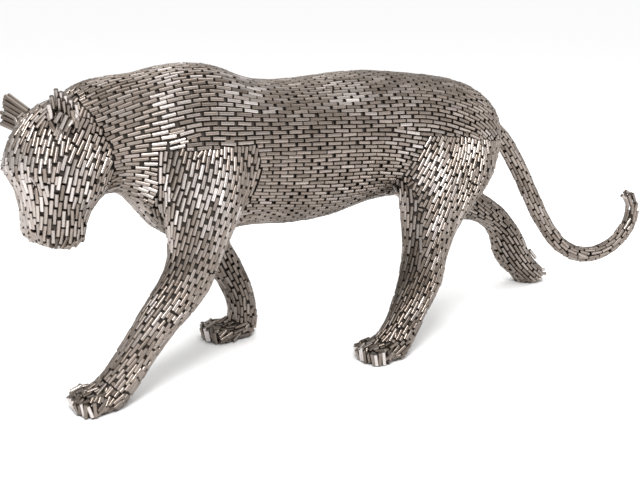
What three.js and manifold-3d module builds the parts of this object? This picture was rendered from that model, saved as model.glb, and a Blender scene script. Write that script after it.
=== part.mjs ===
// Walking panther, one welded stainless steel figure
// Units are millimetres, +Z is up, the head looks to -X and the left side to -Y
import * as THREE from 'three';
import { LoftGeometry } from 'three/addons/geometries/LoftGeometry.js';
import { mergeVertices } from 'three/addons/utils/BufferGeometryUtils.js';
import Module from 'manifold-3d';

const wasm = await Module();
wasm.setup();

// Driving sizes
const WITHERS_HEIGHT = 670;
const FIGURE_LENGTH = 1700;
const CHEST_WIDTH = 276;
const NECK_WIDTH = 184;
const HEAD_WIDTH = 204;
const SHOULDER_WIDTH = 108;
const THIGH_WIDTH = 120;
const FORELEG_WIDTH = 78;
const HINDLEG_WIDTH = 76;
const TAIL_THICKNESS = 48;
const TAIL_TIP_THICKNESS = 38;
const TRACK_WIDTH = 290;
const PAW_WIDTH = 100;
const PAW_HEIGHT = 52;
const EAR_HEIGHT = 92;
const EAR_WIDTH = 64;
const EAR_THICKNESS = 34;
const EAR_WALL = 10;
const EAR_SUNK = 14;
const EAR_SPREAD = 140;
const EAR_LEAN_FORWARD_DEGREES = 18;
const NEAR_EAR_LEAN_DEGREES = 14;
const FAR_EAR_LEAN_DEGREES = 56;
const HEAD_TURN_DEGREES = 14;

// The pose is drawn on a squared grid, as a sculptor enlarges a model
const SQUARES_HIGH = 67;
const SQUARES_LONG = 170;
const SQUARE_X = FIGURE_LENGTH / SQUARES_LONG;
const SQUARE_Z = WITHERS_HEIGHT / SQUARES_HIGH;
const HALF_TRACK_SQUARES = 14.5;
const SQUARE_Y = TRACK_WIDTH / 2 / HALF_TRACK_SQUARES;

// Places on the grid
const EAR_ROOT_X = - 64.6;
const EAR_ROOT_Z = 57.0;
const NECK_PIVOT_X = - 53;

// Fineness of the faceted skin
const BODY_SIDES = 26;
const BODY_RINGS = 36;
const HEAD_SIDES = 20;
const HEAD_RINGS = 20;
const LEG_SIDES = 14;
const LEG_RINGS = 19;
const TAIL_SIDES = 8;
const TAIL_RINGS = 26;
const FACE_SIDES = 14;
const FACE_RINGS = 10;
const PAW_SIDES = 10;
const PAW_RINGS = 7;
const TOE_SIDES = 8;
const TOE_RINGS = 6;

// Squareness of an oval ring, where 2 is a true ellipse and more is boxier
const ROUND = 2;
const HEAD_SQUARENESS = 2.15;
const LEG_SQUARENESS = 2.2;
const BODY_SQUARENESS = 2.25;

// Four toes of a paw, as shares of its width from its middle
const TOE_PLACES = [ - 0.375, - 0.13, 0.13, 0.375 ];

// Body and neck, from the rump to inside the skull: top x and z, underside x and z,
// share of the chest width, share of the neck width
const BODY_ROWS = [
	[ 47.2, 47.5, 47.0, 42.5, 0.18, 0 ],
	[ 46.6, 50.8, 46.0, 38.8, 0.45, 0 ],
	[ 44.8, 54.0, 43.2, 35.0, 0.67, 0 ],
	[ 42.0, 56.7, 39.8, 32.6, 0.81, 0 ],
	[ 37.0, 59.1, 35.5, 31.8, 0.91, 0 ],
	[ 30.0, 60.8, 29.0, 32.4, 0.95, 0 ],
	[ 20.0, 62.1, 20.0, 33.4, 0.92, 0 ],
	[ 10.0, 63.0, 10.0, 33.0, 0.92, 0 ],
	[ 0.0, 62.5, 0.0, 30.6, 0.96, 0 ],
	[ -10.0, 61.9, -10.0, 30.1, 1.0, 0 ],
	[ -18.3, 62.8, -18.3, 30.8, 1.0, 0 ],
	[ -23.0, 64.7, -23.0, 30.5, 0.98, 0 ],
	[ -28.0, 66.4, -28.0, 29.8, 0.95, 0 ],
	[ -35.0, 66.7, -35.0, 29.4, 0.9, 0 ],
	[ -40.0, 66.1, -39.8, 31.4, 0.84, 0 ],
	[ -43.5, 65.3, -43.2, 34.6, 0.76, 0 ],
	[ -47.5, 65.0, -46.0, 38.6, 0, 1.04 ],
	[ -51.5, 64.6, -48.8, 40.6, 0, 1.0 ],
	[ -55.5, 63.7, -52.0, 42.0, 0, 0.97 ],
	[ -59.5, 61.2, -55.5, 44.0, 0, 0.9 ],
	[ -62.0, 57.5, -58.5, 46.5, 0, 0.6 ],
];

// Head, from the back of the skull down to the muzzle: brow side, jaw side, share of the head width
const HEAD_ROWS = [
	[ -55.0, 61.8, -49.8, 51.5, 0.45 ],
	[ -60.5, 61.6, -49.6, 48.5, 0.8 ],
	[ -65.0, 59.8, -50.2, 45.2, 0.95 ],
	[ -68.8, 56.6, -51.3, 42.8, 1.0 ],
	[ -71.1, 53.2, -52.7, 41.1, 1.0 ],
	[ -72.2, 49.8, -54.7, 39.8, 0.96 ],
	[ -72.2, 46.8, -55.9, 38.2, 0.87 ],
	[ -70.8, 44.4, -56.8, 36.9, 0.75 ],
	[ -69.9, 41.8, -57.1, 35.3, 0.67 ],
	[ -69.8, 38.8, -57.1, 33.7, 0.65 ],
	[ -69.3, 36.3, -57.3, 32.5, 0.62 ],
	[ -68.7, 34.2, -58.9, 31.5, 0.55 ],
	[ -67.2, 32.6, -60.8, 31.1, 0.4 ],
	[ -64.8, 31.6, -62.6, 31.2, 0.2 ],
];

// Legs, from inside the body down: front x and z, back x and z, y, share of the muscle width,
// share of the lower leg width
const NEAR_FORELEG_ROWS = [
	[ -41.0, 52.5, -25.5, 52.5, 9.5, 0.56, 0 ],
	[ -42.2, 48.0, -22.6, 48.5, 9.9, 0.76, 0 ],
	[ -42.5, 43.0, -21.4, 44.2, 10.1, 0.91, 0 ],
	[ -42.4, 38.0, -23.8, 39.2, 10.3, 0.97, 0 ],
	[ -42.1, 33.0, -26.8, 33.6, 10.8, 0.95, 0 ],
	[ -42.0, 28.6, -30.4, 27.8, 11.5, 0.45, 0.6 ],
	[ -44.0, 24.6, -33.9, 21.1, 12.3, 0, 1.16 ],
	[ -47.3, 20.5, -38.2, 16.9, 13.0, 0, 1.08 ],
	[ -51.1, 16.0, -43.0, 12.9, 13.6, 0, 1.0 ],
	[ -54.4, 11.4, -47.3, 8.4, 14.1, 0, 0.98 ],
	[ -57.7, 7.4, -50.8, 4.1, 14.4, 0, 1.04 ],
	[ -60.5, 5.0, -53.1, 1.7, 14.5, 0, 1.1 ],
];

const FAR_FORELEG_ROWS = [
	[ -41.0, 52.5, -25.5, 52.5, 9.5, 0.56, 0 ],
	[ -42.2, 48.0, -22.6, 48.5, 9.9, 0.76, 0 ],
	[ -42.0, 43.0, -22.0, 44.0, 10.1, 0.91, 0 ],
	[ -40.0, 37.5, -21.0, 39.5, 10.3, 0.97, 0 ],
	[ -36.0, 31.5, -20.2, 34.0, 10.8, 0.93, 0 ],
	[ -31.2, 27.0, -19.5, 29.2, 11.5, 0.45, 0.6 ],
	[ -26.6, 22.5, -18.0, 24.8, 12.2, 0, 1.14 ],
	[ -23.0, 17.6, -14.9, 19.6, 12.7, 0, 1.04 ],
	[ -20.0, 13.9, -12.6, 15.0, 13.1, 0, 0.98 ],
	[ -18.0, 10.2, -11.1, 10.6, 13.3, 0, 0.96 ],
	[ -17.0, 6.8, -10.4, 6.4, 13.4, 0, 1.0 ],
	[ -17.1, 3.4, -10.5, 2.4, 13.4, 0, 1.06 ],
];

const NEAR_HINDLEG_ROWS = [
	[ 20.0, 50.5, 36.5, 51.0, 9.2, 0.52, 0 ],
	[ 17.2, 46.5, 40.4, 47.2, 9.7, 0.74, 0 ],
	[ 15.4, 42.0, 41.9, 42.0, 10.1, 0.9, 0 ],
	[ 14.9, 37.0, 39.8, 37.0, 10.5, 0.97, 0 ],
	[ 15.0, 32.0, 34.6, 32.0, 11.1, 0.95, 0 ],
	[ 15.1, 27.0, 29.5, 27.6, 12.0, 0.45, 0.68 ],
	[ 14.9, 22.5, 26.2, 23.0, 13.0, 0, 1.24 ],
	[ 13.5, 18.2, 24.7, 18.8, 13.9, 0, 1.1 ],
	[ 11.7, 13.8, 23.4, 15.0, 14.8, 0, 1.0 ],
	[ 9.6, 10.0, 19.3, 9.8, 15.7, 0, 0.97 ],
	[ 7.4, 6.6, 15.8, 5.4, 16.5, 0, 1.02 ],
	[ 4.5, 4.0, 13.5, 2.0, 17.0, 0, 1.1 ],
];

const FAR_HINDLEG_ROWS = [
	[ 20.0, 50.5, 36.5, 51.0, 9.2, 0.52, 0 ],
	[ 18.2, 46.5, 40.4, 47.2, 9.7, 0.74, 0 ],
	[ 19.0, 41.5, 42.4, 43.0, 10.2, 0.9, 0 ],
	[ 22.8, 36.0, 44.4, 39.3, 10.8, 0.95, 0 ],
	[ 30.0, 29.4, 47.2, 35.4, 11.5, 0.9, 0 ],
	[ 39.2, 24.4, 50.6, 31.6, 12.5, 0.43, 0.62 ],
	[ 47.6, 21.4, 54.6, 28.4, 13.5, 0, 1.13 ],
	[ 56.4, 19.4, 61.7, 24.3, 14.5, 0, 1.05 ],
	[ 61.5, 15.0, 67.4, 19.2, 15.3, 0, 1.03 ],
	[ 63.1, 10.2, 71.8, 14.1, 16.0, 0, 1.08 ],
	[ 65.8, 6.0, 74.4, 9.2, 16.5, 0, 1.14 ],
	[ 69.8, 2.6, 77.4, 5.6, 16.8, 0, 1.14 ],
	[ 75.0, 0.3, 80.8, 3.0, 16.9, 0, 0.9 ],
];

// Tail, from inside the rump to the tip: x and z of its middle line
const TAIL_LINE = [
	[ 42.0, 50.0 ],
	[ 50.7, 44.9 ],
	[ 57.2, 36.0 ],
	[ 62.2, 27.4 ],
	[ 67.7, 18.9 ],
	[ 74.1, 12.9 ],
	[ 82.0, 10.4 ],
	[ 90.0, 12.0 ],
	[ 95.7, 16.8 ],
	[ 96.9, 21.9 ],
	[ 94.3, 25.6 ],
];

/** Reads a table of rows as one smooth run and returns as many evenly spaced rows as asked. */
function smoothRows( rows, count ) {

	const width = rows[ 0 ].length;
	const places = rows.map( ( row, index ) => index );
	const run = new THREE.CubicInterpolant( places, rows.flat(), width );
	const result = [];

	for ( let i = 0; i < count; i ++ ) {

		const place = ( rows.length - 1 ) * i / ( count - 1 );
		result.push( Array.from( run.evaluate( place ) ) );

	}

	return result;

}

/** Turns a geometry into a solid for joining and cutting. */
function solid( geometry ) {

	const corners = new THREE.BufferGeometry();
	corners.setAttribute( 'position', geometry.attributes.position.clone() );
	corners.setIndex( geometry.index.clone() );
	const merged = mergeVertices( corners, 1e-3 );
	const mesh = new wasm.Mesh( {
		numProp: 3,
		vertProperties: new Float32Array( merged.attributes.position.array ),
		triVerts: new Uint32Array( merged.index.array ),
	} );
	return new wasm.Manifold( mesh );

}

/** One oval ring through two opposite edge points, at y, as wide as width. */
function ovalRing( start, end, y, width, sides, squareness ) {

	const middle = start.clone().add( end ).multiplyScalar( 0.5 );
	const reach = end.clone().sub( start ).multiplyScalar( 0.5 );
	const power = 2 / squareness;
	const ring = [];

	for ( let i = 0; i < sides; i ++ ) {

		const angle = 2 * Math.PI * i / sides;
		const across = Math.sign( Math.cos( angle ) ) * Math.abs( Math.cos( angle ) ) ** power;
		const along = Math.sign( Math.sin( angle ) ) * Math.abs( Math.sin( angle ) ) ** power;
		ring.push( new THREE.Vector3(
			middle.x + reach.x * along,
			y + width / 2 * across,
			middle.y + reach.y * along,
		) );

	}

	return ring;

}

/** A rounded form skinned over oval rings. Each row ends in y in squares and width in millimetres. */
function roundedForm( rows, count, sides, squareness ) {

	const rings = smoothRows( rows, count ).map( ( [ x1, z1, x2, z2, y, width ] ) => ovalRing(
		new THREE.Vector2( x1 * SQUARE_X, z1 * SQUARE_Z ),
		new THREE.Vector2( x2 * SQUARE_X, z2 * SQUARE_Z ),
		y * SQUARE_Y,
		width,
		sides,
		squareness,
	) );
	return new LoftGeometry( rings, { capStart: true, capEnd: true } );

}

/** An egg shape of three half sizes round a centre. */
function egg( centre, halfSizes, sides, rings ) {

	const geometry = new THREE.SphereGeometry( 1, sides, rings );
	geometry.rotateX( Math.PI / 2 );
	geometry.scale( ...halfSizes );
	geometry.translate( ...centre );
	return geometry;

}

/** The body and neck from the rump to inside the skull. */
function body() {

	const rows = BODY_ROWS.map( ( [ x1, z1, x2, z2, chest, neck ] ) => [
		x1, z1, x2, z2, 0, chest * CHEST_WIDTH + neck * NECK_WIDTH,
	] );
	return solid( roundedForm( rows, BODY_RINGS, BODY_SIDES, BODY_SQUARENESS ) );

}

/** An egg of three half sizes, all in squares, placed on the face and mirrored to side -1 or +1. */
function faceForm( [ x, y, z ], [ long, wide, high ], side ) {

	const centre = [ x * SQUARE_X, side * y * SQUARE_Y, z * SQUARE_Z ];
	return solid( egg( centre, [ long * SQUARE_X, wide * SQUARE_Y, high * SQUARE_Z ], FACE_SIDES, FACE_RINGS ) );

}

/** Moves upright geometry into one ear's place: leant forward, leant outward, then set at the root. */
function setEar( geometry, side, leanOut ) {

	geometry.rotateY( - THREE.MathUtils.degToRad( EAR_LEAN_FORWARD_DEGREES ) );
	geometry.rotateX( - side * THREE.MathUtils.degToRad( leanOut ) );
	geometry.translate( EAR_ROOT_X * SQUARE_X, side * EAR_SPREAD / 2, EAR_ROOT_Z * SQUARE_Z );
	return solid( geometry );

}

/** The cup of one ear, open forward and outward. */
function ear( side, leanOut ) {

	const rise = EAR_HEIGHT / 2 - EAR_SUNK;
	const cupWidth = EAR_WIDTH / 2 - EAR_WALL;
	const cupHeight = EAR_HEIGHT / 2 - EAR_WALL;
	const shell = egg( [ 0, 0, rise ], [ EAR_WIDTH / 2, EAR_THICKNESS / 2, EAR_HEIGHT / 2 ], FACE_SIDES, FACE_RINGS );
	const cup = egg( [ 0, side * EAR_WALL, rise ], [ cupWidth, EAR_THICKNESS / 2, cupHeight ], FACE_SIDES, FACE_RINGS );
	return setEar( shell, side, leanOut ).subtract( setEar( cup, side, leanOut ) );

}

/** Brow, cheek and whisker pad of one side of the face. */
function faceMuscles( side ) {

	const brow = faceForm( [ - 67.0, 4.1, 48.4 ], [ 4.5, 5.0, 3.4 ], side );
	const cheek = faceForm( [ - 61.0, 6.9, 46.3 ], [ 5.4, 3.3, 5.8 ], side );
	const whiskerPad = faceForm( [ - 65.0, 3.0, 35.6 ], [ 4.0, 3.5, 3.7 ], side );
	return brow.add( cheek ).add( whiskerPad );

}

/** The head with its face and ears, turned about the neck towards the figure's left. */
function head() {

	const rows = HEAD_ROWS.map( ( [ x1, z1, x2, z2, share ] ) => [ x1, z1, x2, z2, 0, share * HEAD_WIDTH ] );
	const nose = faceForm( [ - 68.4, 0, 37.2 ], [ 1.5, 2.2, 1.6 ], 1 );
	let whole = solid( roundedForm( rows, HEAD_RINGS, HEAD_SIDES, HEAD_SQUARENESS ) ).add( nose );

	for ( const side of [ - 1, 1 ] ) {

		const leanOut = side < 0 ? NEAR_EAR_LEAN_DEGREES : FAR_EAR_LEAN_DEGREES;
		const eyeSocket = faceForm( [ - 70.9, 5.0, 44.6 ], [ 2.6, 2.3, 1.7 ], side );
		whole = whole.add( faceMuscles( side ) ).subtract( eyeSocket ).add( ear( side, leanOut ) );

	}

	const neckX = NECK_PIVOT_X * SQUARE_X;
	return whole
		.translate( [ - neckX, 0, 0 ] )
		.rotate( [ 0, 0, HEAD_TURN_DEGREES ] )
		.translate( [ neckX, 0, 0 ] );

}

/** One leg from its muscle inside the body down to the ankle. */
function leg( rows, side, muscleWidth, lowerWidth ) {

	const sized = rows.map( ( [ x1, z1, x2, z2, y, muscle, lower ] ) => [
		x1, z1, x2, z2, side * y, muscle * muscleWidth + lower * lowerWidth,
	] );
	return solid( roundedForm( sized, LEG_RINGS, LEG_SIDES, LEG_SQUARENESS ) );

}

/** A paw from heel to toe, with four toes in an arc, as high as the given share of the paw height. */
function paw( toeX, heelX, y, heightShare ) {

	const length = ( heelX - toeX ) * SQUARE_X;
	const height = PAW_HEIGHT * heightShare;
	const centreY = y * SQUARE_Y;
	const pad = egg(
		[ ( toeX * 0.42 + heelX * 0.58 ) * SQUARE_X, centreY, height * 0.38 ],
		[ length * 0.42, PAW_WIDTH * 0.45, height * 0.6 ],
		PAW_SIDES,
		PAW_RINGS,
	);
	let whole = solid( pad );

	for ( const place of TOE_PLACES ) {

		const setBack = Math.abs( place ) * length * 0.32;
		const toe = egg(
			[ toeX * SQUARE_X + length * 0.2 + setBack, centreY + place * PAW_WIDTH, height * 0.42 ],
			[ length * 0.25, PAW_WIDTH * 0.16, height * 0.5 ],
			TOE_SIDES,
			TOE_RINGS,
		);
		whole = whole.add( solid( toe ) );

	}

	return whole;

}

/** The ball of the trailing hind foot, where it rolls off the floor. */
function trailingPad() {

	return solid( egg(
		[ 75.4 * SQUARE_X, 16.9 * SQUARE_Y, PAW_HEIGHT * 0.32 ],
		[ 4.8 * SQUARE_X, PAW_WIDTH * 0.44, PAW_HEIGHT * 0.5 ],
		PAW_SIDES,
		PAW_RINGS,
	) );

}

/** The tail, a long taper bent down and up again. */
function tail() {

	const line = smoothRows( TAIL_LINE, TAIL_RINGS ).map( ( [ x, z ] ) => new THREE.Vector2( x * SQUARE_X, z * SQUARE_Z ) );
	const rings = line.map( ( point, index ) => {

		const before = line[ Math.max( index - 1, 0 ) ];
		const after = line[ Math.min( index + 1, TAIL_RINGS - 1 ) ];
		const ahead = after.clone().sub( before ).normalize();
		const share = index / ( TAIL_RINGS - 1 );
		const thickness = TAIL_THICKNESS + ( TAIL_TIP_THICKNESS - TAIL_THICKNESS ) * share;
		const across = new THREE.Vector2( - ahead.y, ahead.x ).multiplyScalar( thickness / 2 );
		return ovalRing( point.clone().sub( across ), point.clone().add( across ), 0, thickness, TAIL_SIDES, ROUND );

	} );
	return solid( new LoftGeometry( rings, { capStart: true, capEnd: true } ) );

}

/** The whole figure as one solid, cut flat under the soles. */
function figure() {

	const parts = [
		body(),
		head(),
		leg( NEAR_FORELEG_ROWS, - 1, SHOULDER_WIDTH, FORELEG_WIDTH ),
		leg( FAR_FORELEG_ROWS, 1, SHOULDER_WIDTH, FORELEG_WIDTH ),
		leg( NEAR_HINDLEG_ROWS, - 1, THIGH_WIDTH, HINDLEG_WIDTH ),
		leg( FAR_HINDLEG_ROWS, 1, THIGH_WIDTH, HINDLEG_WIDTH ),
		paw( - 65.4, - 53.2, - 14.8, 1 ),
		paw( - 24.2, - 10.4, 13.4, 0.84 ),
		paw( 0.0, 13.2, - 17.2, 0.86 ),
		trailingPad(),
		tail(),
	];
	const joined = parts.reduce( ( sum, part ) => sum.add( part ) );
	const floor = new THREE.BoxGeometry( 2 * FIGURE_LENGTH, 2 * FIGURE_LENGTH, WITHERS_HEIGHT );
	floor.translate( 0, 0, - WITHERS_HEIGHT / 2 );
	return joined.subtract( solid( floor ) );

}

/** A mesh for the scene from a solid, with the middle of its underside at the origin. */
function sceneMesh( name, shape, material ) {

	const { vertProperties, triVerts } = shape.getMesh();
	const geometry = new THREE.BufferGeometry();
	geometry.setAttribute( 'position', new THREE.Float32BufferAttribute( vertProperties, 3 ) );
	geometry.setIndex( new THREE.Uint32BufferAttribute( triVerts, 1 ) );
	geometry.computeBoundingBox();
	geometry.computeVertexNormals();
	const centre = geometry.boundingBox.getCenter( new THREE.Vector3() );
	const mesh = new THREE.Mesh( geometry, material );
	mesh.name = name;
	mesh.position.set( - centre.x, - centre.y, - geometry.boundingBox.min.z );
	return mesh;

}

const steel = new THREE.MeshStandardMaterial( { color: 0x8f8780, roughness: 0.34, metalness: 1 } );
const sculpture = new THREE.Group();
sculpture.add( sceneMesh( 'panther', figure(), steel ) );

export default sculpture;
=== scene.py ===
"""Walking panther welded from short round bars of stainless steel.

The closed solid of the frame gives the form. Rows of bars are laid over it the way the
welder laid them: along the body, down the legs and the face, and lengthwise on the tail.
"""
from __future__ import annotations

import logging
import math
import random
from collections.abc import Iterable
from dataclasses import dataclass, field
from enum import Enum
from itertools import product
from typing import Any

import bpy
import numpy as np
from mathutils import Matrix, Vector
from mathutils.bvhtree import BVHTree
from mathutils.kdtree import KDTree


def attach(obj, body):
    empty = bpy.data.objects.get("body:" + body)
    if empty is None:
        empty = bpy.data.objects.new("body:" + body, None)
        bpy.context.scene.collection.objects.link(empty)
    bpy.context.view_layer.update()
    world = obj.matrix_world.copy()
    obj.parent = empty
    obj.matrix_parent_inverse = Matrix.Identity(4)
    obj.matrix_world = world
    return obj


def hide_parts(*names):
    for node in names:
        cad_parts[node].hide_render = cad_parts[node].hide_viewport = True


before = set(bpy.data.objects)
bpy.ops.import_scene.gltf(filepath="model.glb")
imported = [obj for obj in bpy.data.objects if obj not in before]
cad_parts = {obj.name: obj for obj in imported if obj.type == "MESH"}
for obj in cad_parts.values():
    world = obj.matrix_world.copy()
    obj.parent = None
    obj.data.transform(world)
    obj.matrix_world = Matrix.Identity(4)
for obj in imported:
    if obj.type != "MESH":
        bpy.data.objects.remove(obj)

log = logging.getLogger("panther")

SOLID = "panther"
SEED = 41
CM = 0.01
MM = 0.001
MID_Y = 0.0071
HEAD_PIVOT = Vector((-0.6638, MID_Y, 0.0))
HEAD_TURN = math.radians(14)
UP_AND_BACK = Vector((0.6, 0.0, 0.8))

Spot = tuple[float, float]
Guide = tuple[float, float, float]
Point = tuple[float, float, float]
Arc = tuple[float, float, float, float]
SoftSpot = tuple[float, float, float, float, float]
Colour = tuple[float, float, float]
Cell = tuple[int, int, int]
Socket = bpy.types.NodeSocket


class Zone(Enum):
    """Parts of the figure that the welder covered one at a time."""

    HEAD = "head"
    LEFT_FORELEG = "left foreleg"
    RIGHT_FORELEG = "right foreleg"
    LEFT_THIGH_FRONT = "left thigh front"
    LEFT_HINDLEG = "left hind leg"
    RIGHT_HINDLEG = "right hind leg"
    LEFT_FOREPAW = "left forepaw"
    RIGHT_FOREPAW = "right forepaw"
    LEFT_HINDPAW = "left hind paw"
    TAIL = "tail"
    BODY = "body"
    EAR = "ear"
    EYE = "eye"


class Side(Enum):
    """The figure's own left, nearest the camera, and its right."""

    LEFT = -1
    RIGHT = 1


def in_head(point: Vector, sign: float) -> Vector:
    """Turns a point into the head's own straight frame (sign -1) or back out of it (+1)."""
    turn = sign * HEAD_TURN
    x, y = point.x - HEAD_PIVOT.x, point.y - HEAD_PIVOT.y
    return Vector((
        HEAD_PIVOT.x + x * math.cos(turn) - y * math.sin(turn),
        HEAD_PIVOT.y + x * math.sin(turn) + y * math.cos(turn),
        point.z,
    ))


def turn_head(vector: Vector, sign: float) -> Vector:
    """Turns a direction into the head's straight frame (sign -1) or back out of it (+1)."""
    turn = sign * HEAD_TURN
    return Vector((
        vector.x * math.cos(turn) - vector.y * math.sin(turn),
        vector.x * math.sin(turn) + vector.y * math.cos(turn),
        vector.z,
    ))


def inside(outline: list[Spot], x: float, z: float) -> bool:
    """Tells whether a spot lies inside a closed outline.

    Args:
        outline: corners in centimetres, in the side elevation.
        x: place along the figure, in centimetres.
        z: height in centimetres.

    Returns:
        True where the spot is inside.
    """
    found = False
    before = outline[-1]
    for corner in outline:
        if (corner[1] > z) != (before[1] > z):
            rise = before[1] - corner[1]
            crossing = (before[0] - corner[0]) * (z - corner[1]) / rise + corner[0]
            if x < crossing:
                found = not found
        before = corner
    return found


def soft_sum(spots: Iterable[SoftSpot], place: Vector) -> float:
    """Adds up soft spots (x, z, half width, half height, strength, in centimetres) at a place."""
    x, z = place.x / CM, place.z / CM
    return sum(s * math.exp(-((x - bx) / rx) ** 2 - ((z - bz) / rz) ** 2) for bx, bz, rx, rz, s in spots)


def edge_at(line: list[Spot], z: float) -> float:
    """Reads the x of a line of (x, z) spots, listed from the top down, at height z."""
    if z >= line[0][1]:
        return line[0][0]
    for (x0, z0), (x1, z1) in zip(line, line[1:]):
        if z >= z1:
            return x0 + (x1 - x0) * (z0 - z) / (z0 - z1)
    return line[-1][0]


def plant_tree(places: list[Vector]) -> KDTree:
    tree = KDTree(len(places))
    for number, place in enumerate(places):
        tree.insert(place, number)
    tree.balance()
    return tree


def cell_of(place: Vector, size: float) -> Cell:
    """Names the cell of a cubic grid that a place lies in."""
    return tuple(math.floor(c / size) for c in place)


def cells_round(place: Vector, size: float) -> list[Cell]:
    """Lists the cell of a place and the 26 round it."""
    i, j, k = cell_of(place, size)
    return [(i + di, j + dj, k + dk) for di, dj, dk in product((-1, 0, 1), repeat=3)]


def lean_way(lean: float) -> Point:
    """Turns a lean in degrees into a direction in the side elevation."""
    return math.cos(math.radians(lean)), 0.0, math.sin(math.radians(lean))


def hang(name: str, data: Any) -> bpy.types.Object:
    """Makes an object of some data and puts it in the scene."""
    made = bpy.data.objects.new(name, data)
    bpy.context.scene.collection.objects.link(made)
    return made


def add_piece(name: str, mesh: bpy.types.Mesh, material: bpy.types.Material) -> None:
    """Adds one piece that rides on the figure and replaces its solid."""
    mesh.materials.append(material)
    piece = hang(name, mesh)
    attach(piece, "root")
    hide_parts(SOLID)


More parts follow.
